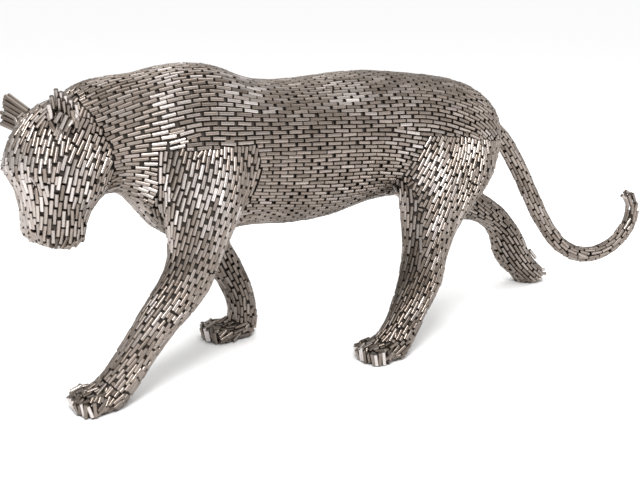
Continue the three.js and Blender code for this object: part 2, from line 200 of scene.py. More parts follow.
@dataclass
class Anatomy:
    """Where one zone of bars ends and the next begins, in centimetres of the side elevation."""

    left_foreleg: list[Spot] = field(default_factory=lambda: [
        (-56.6, 50.2), (-36.0, 50.2), (-34.8, 45.5), (-36.2, 40.0), (-39.2, 34.0), (-42.0, 29.5),
        (-40.0, 20.0), (-40.0, -1.0), (-90.0, -1.0), (-90.0, 12.0), (-56.8, 31.0), (-56.8, 44.0),
    ])
    right_foreleg: list[Spot] = field(default_factory=lambda: [
        (-56.6, 50.2), (-36.0, 50.2), (-34.4, 45.5), (-33.8, 38.0), (-32.6, 30.0), (-18.0, 26.0),
        (-18.0, -1.0), (-46.0, -1.0), (-46.0, 20.0), (-50.6, 30.0), (-55.8, 38.0),
    ])
    left_hindleg: list[Spot] = field(default_factory=lambda: [
        (8.4, 48.6), (17.5, 47.8), (23.0, 46.6), (34.0, 45.0), (34.0, 28.0), (20.0, 20.0),
        (20.0, -1.0), (-20.0, -1.0), (-20.0, 12.0), (-3.0, 20.0), (0.0, 28.0), (0.2, 38.4),
    ])
    right_hindleg: list[Spot] = field(default_factory=lambda: [
        (6.0, 48.6), (17.5, 48.0), (23.0, 46.8), (33.0, 45.5), (36.0, 42.0), (75.0, 42.0),
        (75.0, -1.0), (15.0, -1.0), (15.0, 25.0), (4.8, 34.0), (3.6, 42.0),
    ])
    thigh_split: list[Spot] = field(default_factory=lambda: [
        (1.0, 40.0), (4.2, 35.0), (4.0, 26.0), (3.0, 20.0), (0.6, 16.0), (-2.4, 11.0), (-6.0, 4.0),
    ])
    cheek_edge: list[Spot] = field(default_factory=lambda: [
        (-72.0, 60.0), (-70.4, 56.0), (-68.6, 52.0), (-67.5, 48.0), (-67.6, 44.0), (-69.0, 40.0),
        (-71.0, 36.0),
    ])
    tail_line: list[Spot] = field(default_factory=lambda: [
        (28.5, 50.0), (37.3, 45.0), (43.8, 36.0), (48.8, 27.5), (54.3, 19.0), (60.7, 13.0),
        (68.6, 10.5), (76.6, 12.0), (82.3, 16.8), (83.5, 22.0), (81.0, 25.5),
    ])
    tail_reach: float = 3.4
    tail_root_x: float = 35.4
    belly_fore: float = 30.0
    belly_hind: float = 33.0
    inner_y: float = 5.5
    head_back: float = -60.0
    head_under: float = 30.0
    forepaw_top: float = 7.0
    left_hindpaw: Spot = (-1.5, 4.4)
    right_forepaw: Spot = (-27.0, 4.2)
    fore_ankle: list[Spot] = field(default_factory=lambda: [(-72.8, 7.0), (-66.0, 1.0)])
    ear_roots: dict[Side, Vector] = field(default_factory=lambda: {
        Side.LEFT: Vector((-0.7594, -0.0889, 0.570)),
        Side.RIGHT: Vector((-0.7932, 0.0469, 0.570)),
    })
    ear_rises: dict[Side, Vector] = field(default_factory=lambda: {
        Side.LEFT: Vector((-0.244, -0.298, 0.923)),
        Side.RIGHT: Vector((-0.490, 0.690, 0.532)),
    })
    ear_radius: float = 0.037
    ear_base: float = 0.004
    eye_spot: Vector = field(default_factory=lambda: Vector((-0.8600, 0.050, 0.446)))
    eye_radius: float = 0.013

    def in_ear(self, point: Vector) -> bool:
        """Tells whether a point lies on one of the ears."""
        for side, root in self.ear_roots.items():
            reach = point - root
            height = reach.dot(self.ear_rises[side])
            across = (reach - self.ear_rises[side] * height).length
            if height > self.ear_base and across < self.ear_radius:
                return True
        return False

    def in_eye(self, point: Vector) -> bool:
        """Tells whether a point lies in one of the eye recesses."""
        straight = in_head(point, -1)
        straight.y = MID_Y + abs(straight.y - MID_Y)
        return (straight - self.eye_spot).length < self.eye_radius

    def on_tail(self, x: float, y: float, z: float) -> bool:
        """Tells whether a spot in centimetres lies on the tail."""
        if x < self.tail_root_x or abs(y) > self.tail_reach:
            return False
        here = Vector((x, z))
        for start, end in zip(self.tail_line, self.tail_line[1:]):
            a, b = Vector(start), Vector(end)
            along = min(max((here - a).dot(b - a) / (b - a).length_squared, 0.0), 1.0)
            if (here - a - (b - a) * along).length < self.tail_reach:
                return True
        return False

    def zone(self, point: Vector) -> Zone:
        """Names the zone that a point of the surface belongs to.

        Args:
            point: place on the surface, in metres.

        Returns:
            The zone.
        """
        x, y, z = point.x / CM, (point.y - MID_Y) / CM, point.z / CM
        if x < self.head_back and z > self.head_under:
            if self.in_ear(point):
                return Zone.EAR
            if self.in_eye(point):
                return Zone.EYE
            straight = in_head(point, -1)
            if straight.x / CM < edge_at(self.cheek_edge, z):
                return Zone.HEAD
            return Zone.BODY
        if self.on_tail(x, y, z):
            return Zone.TAIL
        if y < 0:
            if inside(self.left_foreleg, x, z) and (z < self.belly_fore or y < -self.inner_y):
                return Zone.LEFT_FOREPAW if self.on_left_forepaw(x, z) else Zone.LEFT_FORELEG
            if inside(self.left_hindleg, x, z) and (z < self.belly_hind or y < -self.inner_y):
                if x < self.left_hindpaw[0] and z < self.left_hindpaw[1]:
                    return Zone.LEFT_HINDPAW
                return Zone.LEFT_THIGH_FRONT if x < edge_at(self.thigh_split, z) else Zone.LEFT_HINDLEG
            return Zone.BODY
        if inside(self.right_foreleg, x, z) and (z < self.belly_fore or y > self.inner_y):
            on_paw = x < self.right_forepaw[0] and z < self.right_forepaw[1]
            return Zone.RIGHT_FOREPAW if on_paw else Zone.RIGHT_FORELEG
        if inside(self.right_hindleg, x, z) and (z < self.belly_hind or y > self.inner_y):
            return Zone.RIGHT_HINDLEG
        return Zone.BODY

    def on_left_forepaw(self, x: float, z: float) -> bool:
        """Tells whether a spot of the left foreleg is past the ankle line."""
        return x < edge_at(self.fore_ankle, z) and z < self.forepaw_top


@dataclass
class Skin:
    """The smooth surface that the bars are laid on, taken from the frame's solid."""

    voxel: float = 6.0 * MM
    smoothing: int = 6
    anatomy: Anatomy = field(default_factory=Anatomy)

    def build(self) -> None:
        copy = hang("skin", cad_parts[SOLID].data.copy())
        remesh = copy.modifiers.new("even faces", "REMESH")
        remesh.mode = "VOXEL"
        remesh.voxel_size = self.voxel
        smooth = copy.modifiers.new("soft facets", "SMOOTH")
        smooth.factor = 0.5
        smooth.iterations = self.smoothing
        ready = copy.evaluated_get(bpy.context.evaluated_depsgraph_get())
        mesh = ready.to_mesh()
        self.points = [v.co.copy() for v in mesh.vertices]
        self.normals = [v.normal.copy() for v in mesh.vertices]
        self.faces = [tuple(p.vertices) for p in mesh.polygons]
        self.tree = BVHTree.FromPolygons(self.points, self.faces)
        ready.to_mesh_clear()
        bpy.data.objects.remove(copy)

    def drop(self, point: Vector) -> tuple[Vector, Vector]:
        """Drops a point on the surface.

        Args:
            point: a place near the surface.

        Returns:
            The nearest place on the surface and the smooth normal there.
        """
        place, _, index, _ = self.tree.find_nearest(point)
        normal = Vector((0, 0, 0))
        least = 1e-6
        for corner in self.faces[index]:
            reach = (self.points[corner] - place).length_squared
            normal += self.normals[corner] / (reach + least)
        return place, normal.normalized()

    def strike(self, x: float, z: float, side: Side) -> tuple[Vector, Vector] | None:
        """Finds the outermost surface at a spot of the side elevation, seen from one side."""
        start = Vector((x, side.value, z))
        place, _, _, _ = self.tree.ray_cast(start, Vector((0, -side.value, 0)))
        return None if place is None else self.drop(place)


@dataclass
class Flow:
    """Directions of the rows in one zone, blended between guide marks."""

    places: np.ndarray
    ways: np.ndarray
    softness: float = 0.045

    def way(self, place: Vector, normal: Vector, heading: Vector) -> Vector:
        """Blends the guide marks into one direction along the surface.

        Args:
            place: where on the surface.
            normal: the surface normal there.
            heading: the way the row has been running.

        Returns:
            A unit vector in the surface.
        """
        reach = self.places - np.array(place)
        weight = 1.0 / ((reach * reach).sum(1) + self.softness ** 2) ** 2
        sign = np.where(self.ways @ np.array(heading) < 0, -1.0, 1.0)
        blend = Vector(((weight * sign) @ self.ways).tolist())
        blend -= normal * blend.dot(normal)
        if blend.length < 1e-9:
            return heading
        return blend.normalized()


@dataclass
class GuideBook:
    """Guide marks read off the welder's rows: x and z in centimetres and the lean in degrees."""

    head: list[Guide] = field(default_factory=lambda: [
        (-81.5, 54.5, 68), (-78.0, 53.0, 71), (-73.5, 50.5, 69), (-69.0, 49.0, 55), (-85.0, 50.0, 81),
        (-82.5, 47.0, 105), (-83.5, 44.0, 110), (-83.0, 37.5, 91), (-81.5, 40.0, 87), (-77.5, 41.5, 85),
        (-73.0, 41.0, 90), (-71.0, 36.5, 92), (-76.5, 35.0, 80), (-80.0, 35.5, 84), (-74.0, 56.0, 48),
        (-70.5, 53.5, 44), (-82.0, 56.5, 52), (-79.5, 58.5, 40),
    ])
    body: list[Guide] = field(default_factory=lambda: [
        (-66.0, 60.5, 22), (-62.0, 61.5, 14), (-60.5, 58.0, 15), (-65.0, 53.5, 25), (-58.5, 54.0, 13),
        (-53.5, 55.0, 14), (-51.0, 61.0, 11), (-50.0, 64.5, 9), (-48.0, 57.5, 1), (-42.5, 62.0, -10),
        (-40.5, 63.5, -16), (-41.5, 54.5, -4), (-61.0, 51.0, 2), (-57.0, 49.5, 10), (-61.0, 47.0, 0),
        (-63.5, 44.0, 4), (-58.5, 46.0, -20), (-56.5, 44.0, -32), (-59.0, 41.5, -30), (-57.0, 37.5, -52),
        (-54.5, 35.5, -56), (-27.5, 54.0, -2), (-15.5, 52.0, -2), (-26.5, 44.0, -4), (-12.0, 42.5, -4),
        (-29.0, 37.0, -6), (-24.0, 33.0, -10), (-12.0, 35.5, -2), (-5.0, 38.0, -3), (0.0, 41.0, -10),
        (1.0, 44.0, -14), (-2.5, 54.0, -4), (-14.0, 58.0, -6), (-5.0, 58.0, 3), (-23.5, 59.5, -1),
        (4.0, 56.5, -2), (4.0, 52.0, -6), (13.0, 51.5, -9), (17.0, 49.0, -24), (19.5, 52.0, -22),
        (22.5, 48.5, -42), (25.5, 51.0, -30), (27.0, 47.5, -47), (30.0, 52.0, -42), (32.5, 47.0, -65),
        (32.0, 42.0, -85), (-35.0, 31.0, -4), (-5.0, 32.0, 2), (10.0, 34.0, 2),
    ])
    left_foreleg: list[Guide] = field(default_factory=lambda: [
        (-53.5, 47.5, 76), (-44.0, 47.5, 80), (-38.5, 47.0, 84), (-50.0, 44.5, 71), (-53.5, 40.0, 71),
        (-47.5, 39.5, 65), (-41.5, 40.5, 62), (-55.5, 37.0, 88), (-50.5, 35.0, 67), (-44.0, 34.0, 66),
        (-48.0, 32.0, 69), (-55.0, 29.0, 75), (-52.5, 26.0, 66), (-48.5, 28.0, 58), (-59.0, 20.0, 47),
        (-55.5, 18.0, 46), (-61.5, 16.5, 47), (-61.0, 13.0, 45), (-67.0, 9.5, 48), (-64.0, 7.5, 47),
        (-70.5, 7.0, 48), (-75.0, 3.0, 30),
    ])
    right_foreleg: list[Guide] = field(default_factory=lambda: [
        (-53.5, 47.5, 86), (-44.0, 47.5, 90), (-38.0, 47.0, 94), (-49.0, 41.0, 98), (-41.0, 40.0, 104),
        (-42.0, 32.0, 116), (-37.0, 26.0, 124), (-32.0, 17.5, 123), (-28.5, 17.0, 122), (-31.0, 13.0, 118),
        (-29.5, 10.5, 110), (-29.0, 7.5, 98), (-27.0, 5.5, 82), (-26.0, 4.5, 77), (-31.0, 3.5, 10),
    ])
    left_hindleg: list[Guide] = field(default_factory=lambda: [
        (8.5, 45.0, 57), (18.5, 45.0, 70), (22.0, 44.5, 84), (5.0, 41.5, 55), (9.5, 39.5, 54),
        (17.0, 40.0, 66), (24.5, 40.0, 70), (17.0, 34.5, 56), (6.0, 34.5, 63), (12.0, 29.0, 64),
        (5.0, 26.5, 66), (8.5, 26.5, 65), (1.0, 18.5, 71), (0.5, 15.5, 64), (2.5, 14.5, 59),
        (5.0, 14.0, 56), (-3.0, 9.5, 58), (-4.5, 8.5, 56), (-4.0, 7.0, 46), (-1.0, 8.0, 47),
        (-3.5, 4.5, 25), (28.5, 43.0, 86), (28.0, 37.0, 72),
    ])
    thigh_front: list[Guide] = field(default_factory=lambda: [
        (2.0, 37.0, 104), (2.0, 34.5, 98), (2.0, 32.0, 94), (2.0, 26.5, 90), (1.5, 22.0, 80),
        (-0.5, 16.0, 62), (-3.5, 10.5, 57), (-5.5, 7.0, 52),
    ])
    right_hindleg: list[Guide] = field(default_factory=lambda: [
        (8.5, 45.0, 84), (18.0, 45.0, 96), (26.0, 43.0, 112), (10.0, 38.5, 104), (20.0, 38.0, 122),
        (28.0, 33.0, 138), (36.0, 28.5, 146), (39.0, 22.5, 148), (42.0, 25.5, 144), (45.5, 19.5, 142),
        (46.5, 17.0, 136), (49.5, 17.5, 138), (52.0, 11.5, 128), (54.0, 11.0, 130), (56.0, 6.5, 132),
        (59.0, 9.0, 138), (52.0, 8.0, 124), (59.0, 2.0, 134), (63.0, 1.5, 150),
    ])
    left_forepaw: list[Guide] = field(default_factory=lambda: [
        (-71.0, 4.5, 48), (-75.0, 4.0, 44), (-70.0, 2.0, 12), (-78.0, 2.0, 84), (-74.0, 1.5, 80),
    ])
    right_forepaw: list[Guide] = field(default_factory=lambda: [
        (-29.0, 2.5, -6), (-32.5, 3.5, 20), (-34.5, 3.5, 45), (-36.5, 2.0, 70),
    ])
    left_hindpaw: list[Guide] = field(default_factory=lambda: [
        (-4.0, 2.5, 8), (-7.0, 3.0, 20), (-11.0, 3.0, 60), (-12.5, 1.5, 88),
    ])


@dataclass
class RowPlan:
    """How one zone is laid: pitch and open joint in metres, the first spot, unevenness of hand."""

    pitch: float
    joint: float
    seed: Spot
    side: Side
    yaw: float
    lift: float
    tip: float


@dataclass
class Row:
    """One row of bars: its places on the surface, the normals there and where its bars meet."""

    zone: Zone
    places: list[Vector]
    normals: list[Vector]
    joints: list[float] = field(default_factory=list)

    def lengths(self) -> list[float]:
        """Running length at each place, from the start of the row."""
        total = [0.0]
        for before, after in zip(self.places, self.places[1:]):
            total.append(total[-1] + (after - before).length)
        return total

    def way(self, index: int) -> Vector:
        """Direction of the row at one of its places."""
        last = len(self.places) - 1
        return (self.places[min(index + 1, last)] - self.places[max(index - 1, 0)]).normalized()


@dataclass
class Bar:
    """One cut bar: its middle, axis, outward normal, length, tone with painted shade, and brightness from
    sanding and painted highlight.
    """

    middle: Vector
    axis: Vector
    normal: Vector
    length: float
    zone: Zone
    # tone carries painted shade; the brightness below carries sanding and painted highlight.
    tone: float = 0.5
    sanding_and_highlight: float = 0.0


class Layout:
    """Lays evenly spaced rows over the skin, zone by zone."""

    STEP = 6.0 * MM
    BAR_LENGTH = 34.0 * MM
    BAR_RADIUS = 4.0 * MM
    SHORTEST = 12.0 * MM
    LONGEST = 40.0 * MM
    FIRST_ROOM = (0.97, 0.86)
    FILL_ROOM = (0.8, 0.72)
    ZONE_ROOM = 5.0 * MM
    CELL = 12.0 * MM
    SLACK = 2.6
    CROWDED = 0.66
    SAME_FACE = 0.2
    TURNED_BACK = 0.2
    OPPOSED = -0.6
    KNIT_REACH = 2.2
    KNIT_ASIDE = 0.3
    EASE = 0.36
    MOST_EASE = 0.3
    WINDOW = 3
    TAIL_SOFTNESS = 0.02

    def __init__(self, skin: Skin, anatomy: Anatomy, book: GuideBook) -> None:
        """Keeps the skin, the zones and the guide marks.

        Args:
            skin: the surface.
            anatomy: the zones.
            book: the guide marks.
        """
        self.skin = skin
        self.anatomy = anatomy
        self.grid: dict[Cell, list[tuple[Vector, Vector, Vector, int, Zone]]] = {}
        self.rows: list[Row] = []
        left, right = Side.LEFT, Side.RIGHT
        self.plans = {
            Zone.TAIL: RowPlan(8.2 * MM, 3.4 * MM, (55.0, 20.5), left, 1.6, 0.5, 1.4),
            Zone.HEAD: RowPlan(7.5 * MM, 4.2 * MM, (-76.0, 45.0), left, 2.6, 0.7, 2.0),
            Zone.LEFT_FOREPAW: RowPlan(8.0 * MM, 2.0 * MM, (-73.0, 3.5), left, 12.0, 1.6, 7.0),
            Zone.RIGHT_FOREPAW: RowPlan(8.0 * MM, 2.0 * MM, (-31.0, 3.0), right, 11.0, 1.4, 6.0),
            Zone.LEFT_HINDPAW: RowPlan(8.0 * MM, 2.0 * MM, (-9.0, 2.5), left, 12.0, 1.4, 7.0),
            Zone.LEFT_FORELEG: RowPlan(7.8 * MM, 4.6 * MM, (-48.0, 42.0), left, 1.8, 0.6, 1.6),
            Zone.LEFT_THIGH_FRONT: RowPlan(8.1 * MM, 4.2 * MM, (2.5, 30.0), left, 1.6, 0.5, 1.6),
            Zone.LEFT_HINDLEG: RowPlan(8.1 * MM, 4.8 * MM, (10.0, 36.0), left, 1.8, 0.6, 1.6),
            Zone.RIGHT_FORELEG: RowPlan(8.2 * MM, 3.8 * MM, (-45.0, 40.0), right, 1.6, 0.5, 1.5),
            Zone.RIGHT_HINDLEG: RowPlan(8.1 * MM, 3.8 * MM, (42.0, 24.0), right, 1.6, 0.5, 1.5),
            Zone.BODY: RowPlan(7.9 * MM, 3.6 * MM, (-12.0, 47.0), left, 1.4, 0.4, 1.2),
        }
        self.flows = self.read_guides(book)

    def read_guides(self, book: GuideBook) -> dict[Zone, Flow]:
        """Sets the guide marks on the surface.

        Args:
            book: the marks.

        Returns:
            A flow for each zone.
        """
        legs = {
            Zone.LEFT_FORELEG: (book.left_foreleg, Side.LEFT),
            Zone.RIGHT_FORELEG: (book.right_foreleg, Side.RIGHT),
            Zone.LEFT_HINDLEG: (book.left_hindleg, Side.LEFT),
            Zone.LEFT_THIGH_FRONT: (book.thigh_front, Side.LEFT),
            Zone.RIGHT_HINDLEG: (book.right_hindleg, Side.RIGHT),
            Zone.LEFT_FOREPAW: (book.left_forepaw, Side.LEFT),
            Zone.RIGHT_FOREPAW: (book.right_forepaw, Side.RIGHT),
            Zone.LEFT_HINDPAW: (book.left_hindpaw, Side.LEFT),
        }
        leg_y = 0.13
        flows = {}
        for zone, (marks, side) in legs.items():
            places = [(x * CM, side.value * leg_y, z * CM) for x, z, _ in marks]
            flows[zone] = Flow(np.array(places), np.array([lean_way(lean) for _, _, lean in marks]))
        flows[Zone.HEAD] = self.set_on_surface(book.head, True)
        flows[Zone.BODY] = self.set_on_surface(book.body, False)
        line = self.anatomy.tail_line
        places, ways = [], []
        for (x0, z0), (x1, z1) in zip(line, line[1:]):
            way = Vector((x1 - x0, 0.0, z1 - z0)).normalized()
            places.append(((x0 + x1) / 2 * CM, MID_Y, (z0 + z1) / 2 * CM))
            ways.append(tuple(way))
        flows[Zone.TAIL] = Flow(np.array(places), np.array(ways), self.TAIL_SOFTNESS)
        return flows

    def set_on_surface(self, marks: list[Guide], on_head: bool) -> Flow:
        """Sets marks on the left side of the skin and mirrors them to the right."""
        places, ways = [], []
        sideways = 0.3
        for x, z, lean in marks:
            struck = self.skin.strike(x * CM, z * CM, Side.LEFT)
            if struck is None:
                continue
            place, normal = struck
            way = Vector(lean_way(lean))
            if abs(normal.y) > sideways:
                way.y = -(way.x * normal.x + way.z * normal.z) / normal.y
            way -= normal * way.dot(normal)
            way.normalize()
            places.append(tuple(place))
            ways.append(tuple(way))
            if on_head:
                place, way = in_head(place, -1), turn_head(way, -1)
            place = Vector((place.x, 2 * MID_Y - place.y, place.z))
            way = Vector((way.x, -way.y, way.z))
            if on_head:
                place, way = in_head(place, 1), turn_head(way, 1)
            places.append(tuple(place))
            ways.append(tuple(way))
        return Flow(np.array(places), np.array(ways))

    def near(self, place: Vector) -> list[tuple[Vector, Vector, Vector, int, Zone]]:
        """Lists what is laid already in the cells round a place."""
        return [entry for cell in cells_round(place, self.CELL) for entry in self.grid.get(cell, ())]

    def has_room(self, place: Vector, normal: Vector, zone: Zone, room: float, skip: int = -1) -> bool:
        """Tells whether a place keeps its distance from the rows that are laid already.

        Args:
            place: the place on the surface.
            normal: the normal there.
            zone: the zone being laid.
            room: least distance to a row of the same zone.
            skip: number of the row that doesn't count.

        Returns:
            True where a row can pass.
        """
        for other, other_normal, way, number, other_zone in self.near(place):
            if number == skip:
                continue
            reach = place - other
            gap = reach.length
            if other_zone is not zone:
                if gap < self.ZONE_ROOM:
                    return False
                continue
            if gap > 2 * room or other_normal.dot(normal) < self.SAME_FACE:
                continue
            along = reach.dot(way)
            if abs(along) <= self.STEP * 0.6:
                gap = math.sqrt(max(gap * gap - along * along, 0.0))
            if gap < room:
                return False
        return True

    def run(
        self, place: Vector, normal: Vector, heading: Vector, zone: Zone, room: float,
    ) -> tuple[list[Vector], list[Vector]]:
        """Follows the flow one way until the zone ends or a laid row comes too near.

        Args:
            place: where to start.
            normal: the normal there.
            heading: the way to go.
            zone: the zone being laid.
            room: least distance to a row of the same zone.

        Returns:
            Places and normals, without the start.
        """
        flow = self.flows[zone]
        places, normals = [], []
        longest, own_gap, least_step = 500, 25, 0.3
        while len(places) < longest:
            way = flow.way(place, normal, heading)
            if way.dot(heading) < self.TURNED_BACK:
                break
            step = self.STEP
            after, after_normal = self.skin.drop(place + way * step)
            if self.anatomy.zone(after) is not zone:
                if step_back := self.trim(place, way, zone):
                    places.append(step_back[0])
                    normals.append(step_back[1])
                break
            if not self.has_room(after, after_normal, zone, room):
                break
            older = places[:-own_gap]
            if any((after - spot).length < room for spot in older):
                break
            moved = after - place
            if moved.length < least_step * step:
                break
            heading = moved.normalized()
            place, normal = after, after_normal
            places.append(place)
            normals.append(normal)
        return places, normals

    def trim(self, place: Vector, way: Vector, zone: Zone) -> tuple[Vector, Vector] | None:
        """Finds the last place of the zone within one step."""
        near, far = 0.0, self.STEP
        halvings = 3
        best = None
        for _ in range(halvings):
            middle = (near + far) / 2
            spot, normal = self.skin.drop(place + way * middle)
            if self.anatomy.zone(spot) is zone:
                near, best = middle, (spot, normal)
            else:
                far = middle
        return best

    def lay_row(
        self, place: Vector, normal: Vector, heading: Vector, zone: Zone, crowded: float,
    ) -> Row | None:
        """Lays one row both ways from a place.

        Args:
            place: where to start.
            normal: the normal there.
            heading: roughly the way the row runs.
            zone: the zone being laid.
            crowded: share of the pitch that it may come near another row.

        Returns:
            The row, or None where it would be too short.
        """
        room = self.plans[zone].pitch * crowded
        way = self.flows[zone].way(place, normal, heading)
        ahead, ahead_normals = self.run(place, normal, way, zone, room)
        back, back_normals = self.run(place, normal, -way, zone, room)
        places = back[::-1] + [place] + ahead
        normals = back_normals[::-1] + [normal] + ahead_normals
        row = Row(zone, places, normals)
        if len(places) < 3 or row.lengths()[-1] < self.SHORTEST:
            return None
        self.record(row, len(self.rows))
        self.rows.append(row)
        return row

    def record(self, row: Row, number: int) -> None:
        """Enters a row in the grid of what is laid."""
        for index, spot in enumerate(row.places):
            entry = (spot, row.normals[index], row.way(index), number, row.zone)
            self.grid.setdefault(cell_of(spot, self.CELL), []).append(entry)

    def lay_zone(self, zone: Zone) -> None:
        """Lays all the rows of a zone, each beside one that is laid."""
        plan = self.plans[zone]
        x, z = plan.seed
        struck = self.skin.strike(x * CM, z * CM, plan.side)
        if struck and self.anatomy.zone(struck[0]) is zone:
            first = self.lay_row(*struck, UP_AND_BACK, zone, self.FIRST_ROOM[1])
            if first:
                self.spread([first], plan, zone, self.FIRST_ROOM)
        self.fill_zone(zone, self.FIRST_ROOM)

    def fill_zone(self, zone: Zone, rooms: tuple[float, float]) -> None:
        """Lays rows wherever the zone has room for one.

        Args:
            zone: the zone.
            rooms: shares of the pitch that a row needs where it starts and where it runs.
        """
        plan = self.plans[zone]
        for place, normal, own in zip(self.skin.points, self.skin.normals, self.owners):
            if own is zone and self.has_room(place, normal, zone, plan.pitch * rooms[0]):
                extra = self.lay_row(place, normal, UP_AND_BACK, zone, rooms[1])
                if extra:
                    self.spread([extra], plan, zone, rooms)

    def lay_all(self) -> None:
        """Lays every zone, evens the rows out, fills what is left open and evens out again."""
        self.owners = [self.anatomy.zone(place) for place in self.skin.points]
        rounds = 7
        for zone in self.plans:
            self.lay_zone(zone)
            log.info("%s: %d rows so far", zone.value, len(self.rows))
        self.even_out(rounds)
        self.prune()
        self.knit()
        self.grid.clear()
        for number, row in enumerate(self.rows):
            self.record(row, number)
        for zone in self.plans:
            self.fill_zone(zone, self.FILL_ROOM)
        log.info("filled: %d rows", len(self.rows))
        self.even_out(rounds)
        self.knit()
        self.even_out(rounds)
        self.prune()
        self.stretch_ends()
        log.info("rows in all: %d", len(self.rows))

    def spread(self, queue: list[Row], plan: RowPlan, zone: Zone, rooms: tuple[float, float]) -> None:
        """Lays rows on both sides of each row in the queue until no room is left."""
        while queue:
            row = queue.pop(0)
            for index, (place, normal) in enumerate(zip(row.places, row.normals)):
                way = row.way(index)
                across = normal.cross(way)
                for sign in (1, -1):
                    spot, spot_normal = self.skin.drop(place + across * sign * plan.pitch)
                    if self.anatomy.zone(spot) is not zone:
                        continue
                    if self.has_room(spot, spot_normal, zone, plan.pitch * rooms[0]):
                        beside = self.lay_row(spot, spot_normal, way, zone, rooms[1])
                        if beside:
                            queue.append(beside)

    def even_out(self, rounds: int) -> None:
        """Moves the rows sideways until the gaps between them are even.

        Args:
            rounds: how many times to go over all the rows.
        """
        for _ in range(rounds):
            spots = [(place, number) for number, row in enumerate(self.rows) for place in row.places]
            tree = plant_tree([place for place, _ in spots])
            for number, row in enumerate(self.rows):
                self.shift_row(number, row, tree, spots)

    def row_ends(self) -> list[tuple[int, int, Vector, Vector]]:
        """Lists each row's number, which end it is, the place and the way out of the row there."""
        ends = []
        back = 3
        for number, row in enumerate(self.rows):
            inner = min(back, len(row.places) - 1)
            first, last = row.places[0], row.places[-1]
            ends.append((number, 0, first, (first - row.places[inner]).normalized()))
            ends.append((number, 1, last, (last - row.places[-1 - inner]).normalized()))
        return ends

    def facing_ends(self, reach: float, aside: float) -> list[tuple[float, int, int]]:
        """Finds pairs of row ends that face each other.

        Args:
            reach: farthest that two ends may be apart.
            aside: farthest that one may lie to the side of the other.

        Returns:
            How far aside, and the two numbers in the list of row ends, nearest in line first.
        """
        ends = self.row_ends()
        tree = plant_tree([end[2] for end in ends])
        pairs = []
        for count, (number, _, place, out) in enumerate(ends):
            for other, found, _ in tree.find_range(place, reach):
                if found <= count or ends[found][0] == number:
                    continue
                if self.rows[ends[found][0]].zone is not self.rows[number].zone:
                    continue
                if ends[found][3].dot(out) > self.OPPOSED:
                    continue
                offset = other - place
                side = (offset - out * offset.dot(out)).length
                if side < aside and offset.dot(out) > -self.STEP:
                    pairs.append((side, count, found))
        return sorted(pairs)

    def knit(self) -> None:
        """Joins rows whose ends meet in line into one row."""
        ends = self.row_ends()
        used: set[int] = set()
        gone: set[int] = set()
        for _, one, two in self.facing_ends(self.KNIT_REACH * self.CELL, self.KNIT_ASIDE * self.CELL):
            first, second = ends[one], ends[two]
            if first[0] in used or second[0] in used:
                continue
            used.update((first[0], second[0]))
            a, b = self.rows[first[0]], self.rows[second[0]]
            places = a.places if first[1] == 1 else a.places[::-1]
            normals = a.normals if first[1] == 1 else a.normals[::-1]
            more = b.places if second[1] == 0 else b.places[::-1]
            more_normals = b.normals if second[1] == 0 else b.normals[::-1]
            gap = more[0] - places[-1]
            between = max(round(gap.length / self.STEP) - 1, 0)
            bridge = [self.skin.drop(places[-1] + gap * (i + 1) / (between + 1)) for i in range(between)]
            a.places = places + [spot for spot, _ in bridge] + more
            a.normals = normals + [normal for _, normal in bridge] + more_normals
            gone.add(second[0])
        self.rows = [row for number, row in enumerate(self.rows) if number not in gone]
        log.info("knitted %d pairs of rows", len(gone))

    def shift_row(self, number: int, row: Row, tree: KDTree, spots: list) -> None:
        """Moves one row towards the middle of the space between its neighbours."""
        pitch = self.plans[row.zone].pitch
        slack, abreast = self.SLACK * pitch, self.STEP * 0.7
        last = len(row.places) - 1
        shifts, acrosses = [], []
        for index, (place, normal) in enumerate(zip(row.places, row.normals)):
            way = row.way(index)
            across = normal.cross(way)
            gaps = {1: slack, -1: slack}
            for other, count, _ in tree.find_range(place, slack):
                other_number = spots[count][1]
                if other_number == number:
                    continue
                reach = other - place
                if abs(reach.dot(way)) > abreast or abs(reach.dot(normal)) > pitch:
                    continue
                offset = reach.dot(across)
                gap = abs(offset)
                if self.rows[other_number].zone is not row.zone:
                    gap += pitch - self.ZONE_ROOM
                sign = 1 if offset > 0 else -1
                gaps[sign] = min(gaps[sign], gap)
            gaps = {sign: pitch if gap >= slack else gap for sign, gap in gaps.items()}
            shift = (gaps[1] - gaps[-1]) * self.EASE
            shifts.append(max(-self.MOST_EASE * pitch, min(self.MOST_EASE * pitch, shift)))
            acrosses.append(across)
        eased = list(row.places)
        for index in range(1, last):
            eased[index] = (row.places[index - 1] + row.places[index] * 2 + row.places[index + 1]) / 4
        for index in range(last + 1):
            window = shifts[max(index - self.WINDOW, 0):index + self.WINDOW + 1]
            shift = sum(window) / len(window)
            place, normal = self.skin.drop(eased[index] + acrosses[index] * shift)
            if self.anatomy.zone(place) is row.zone:
                row.places[index], row.normals[index] = place, normal

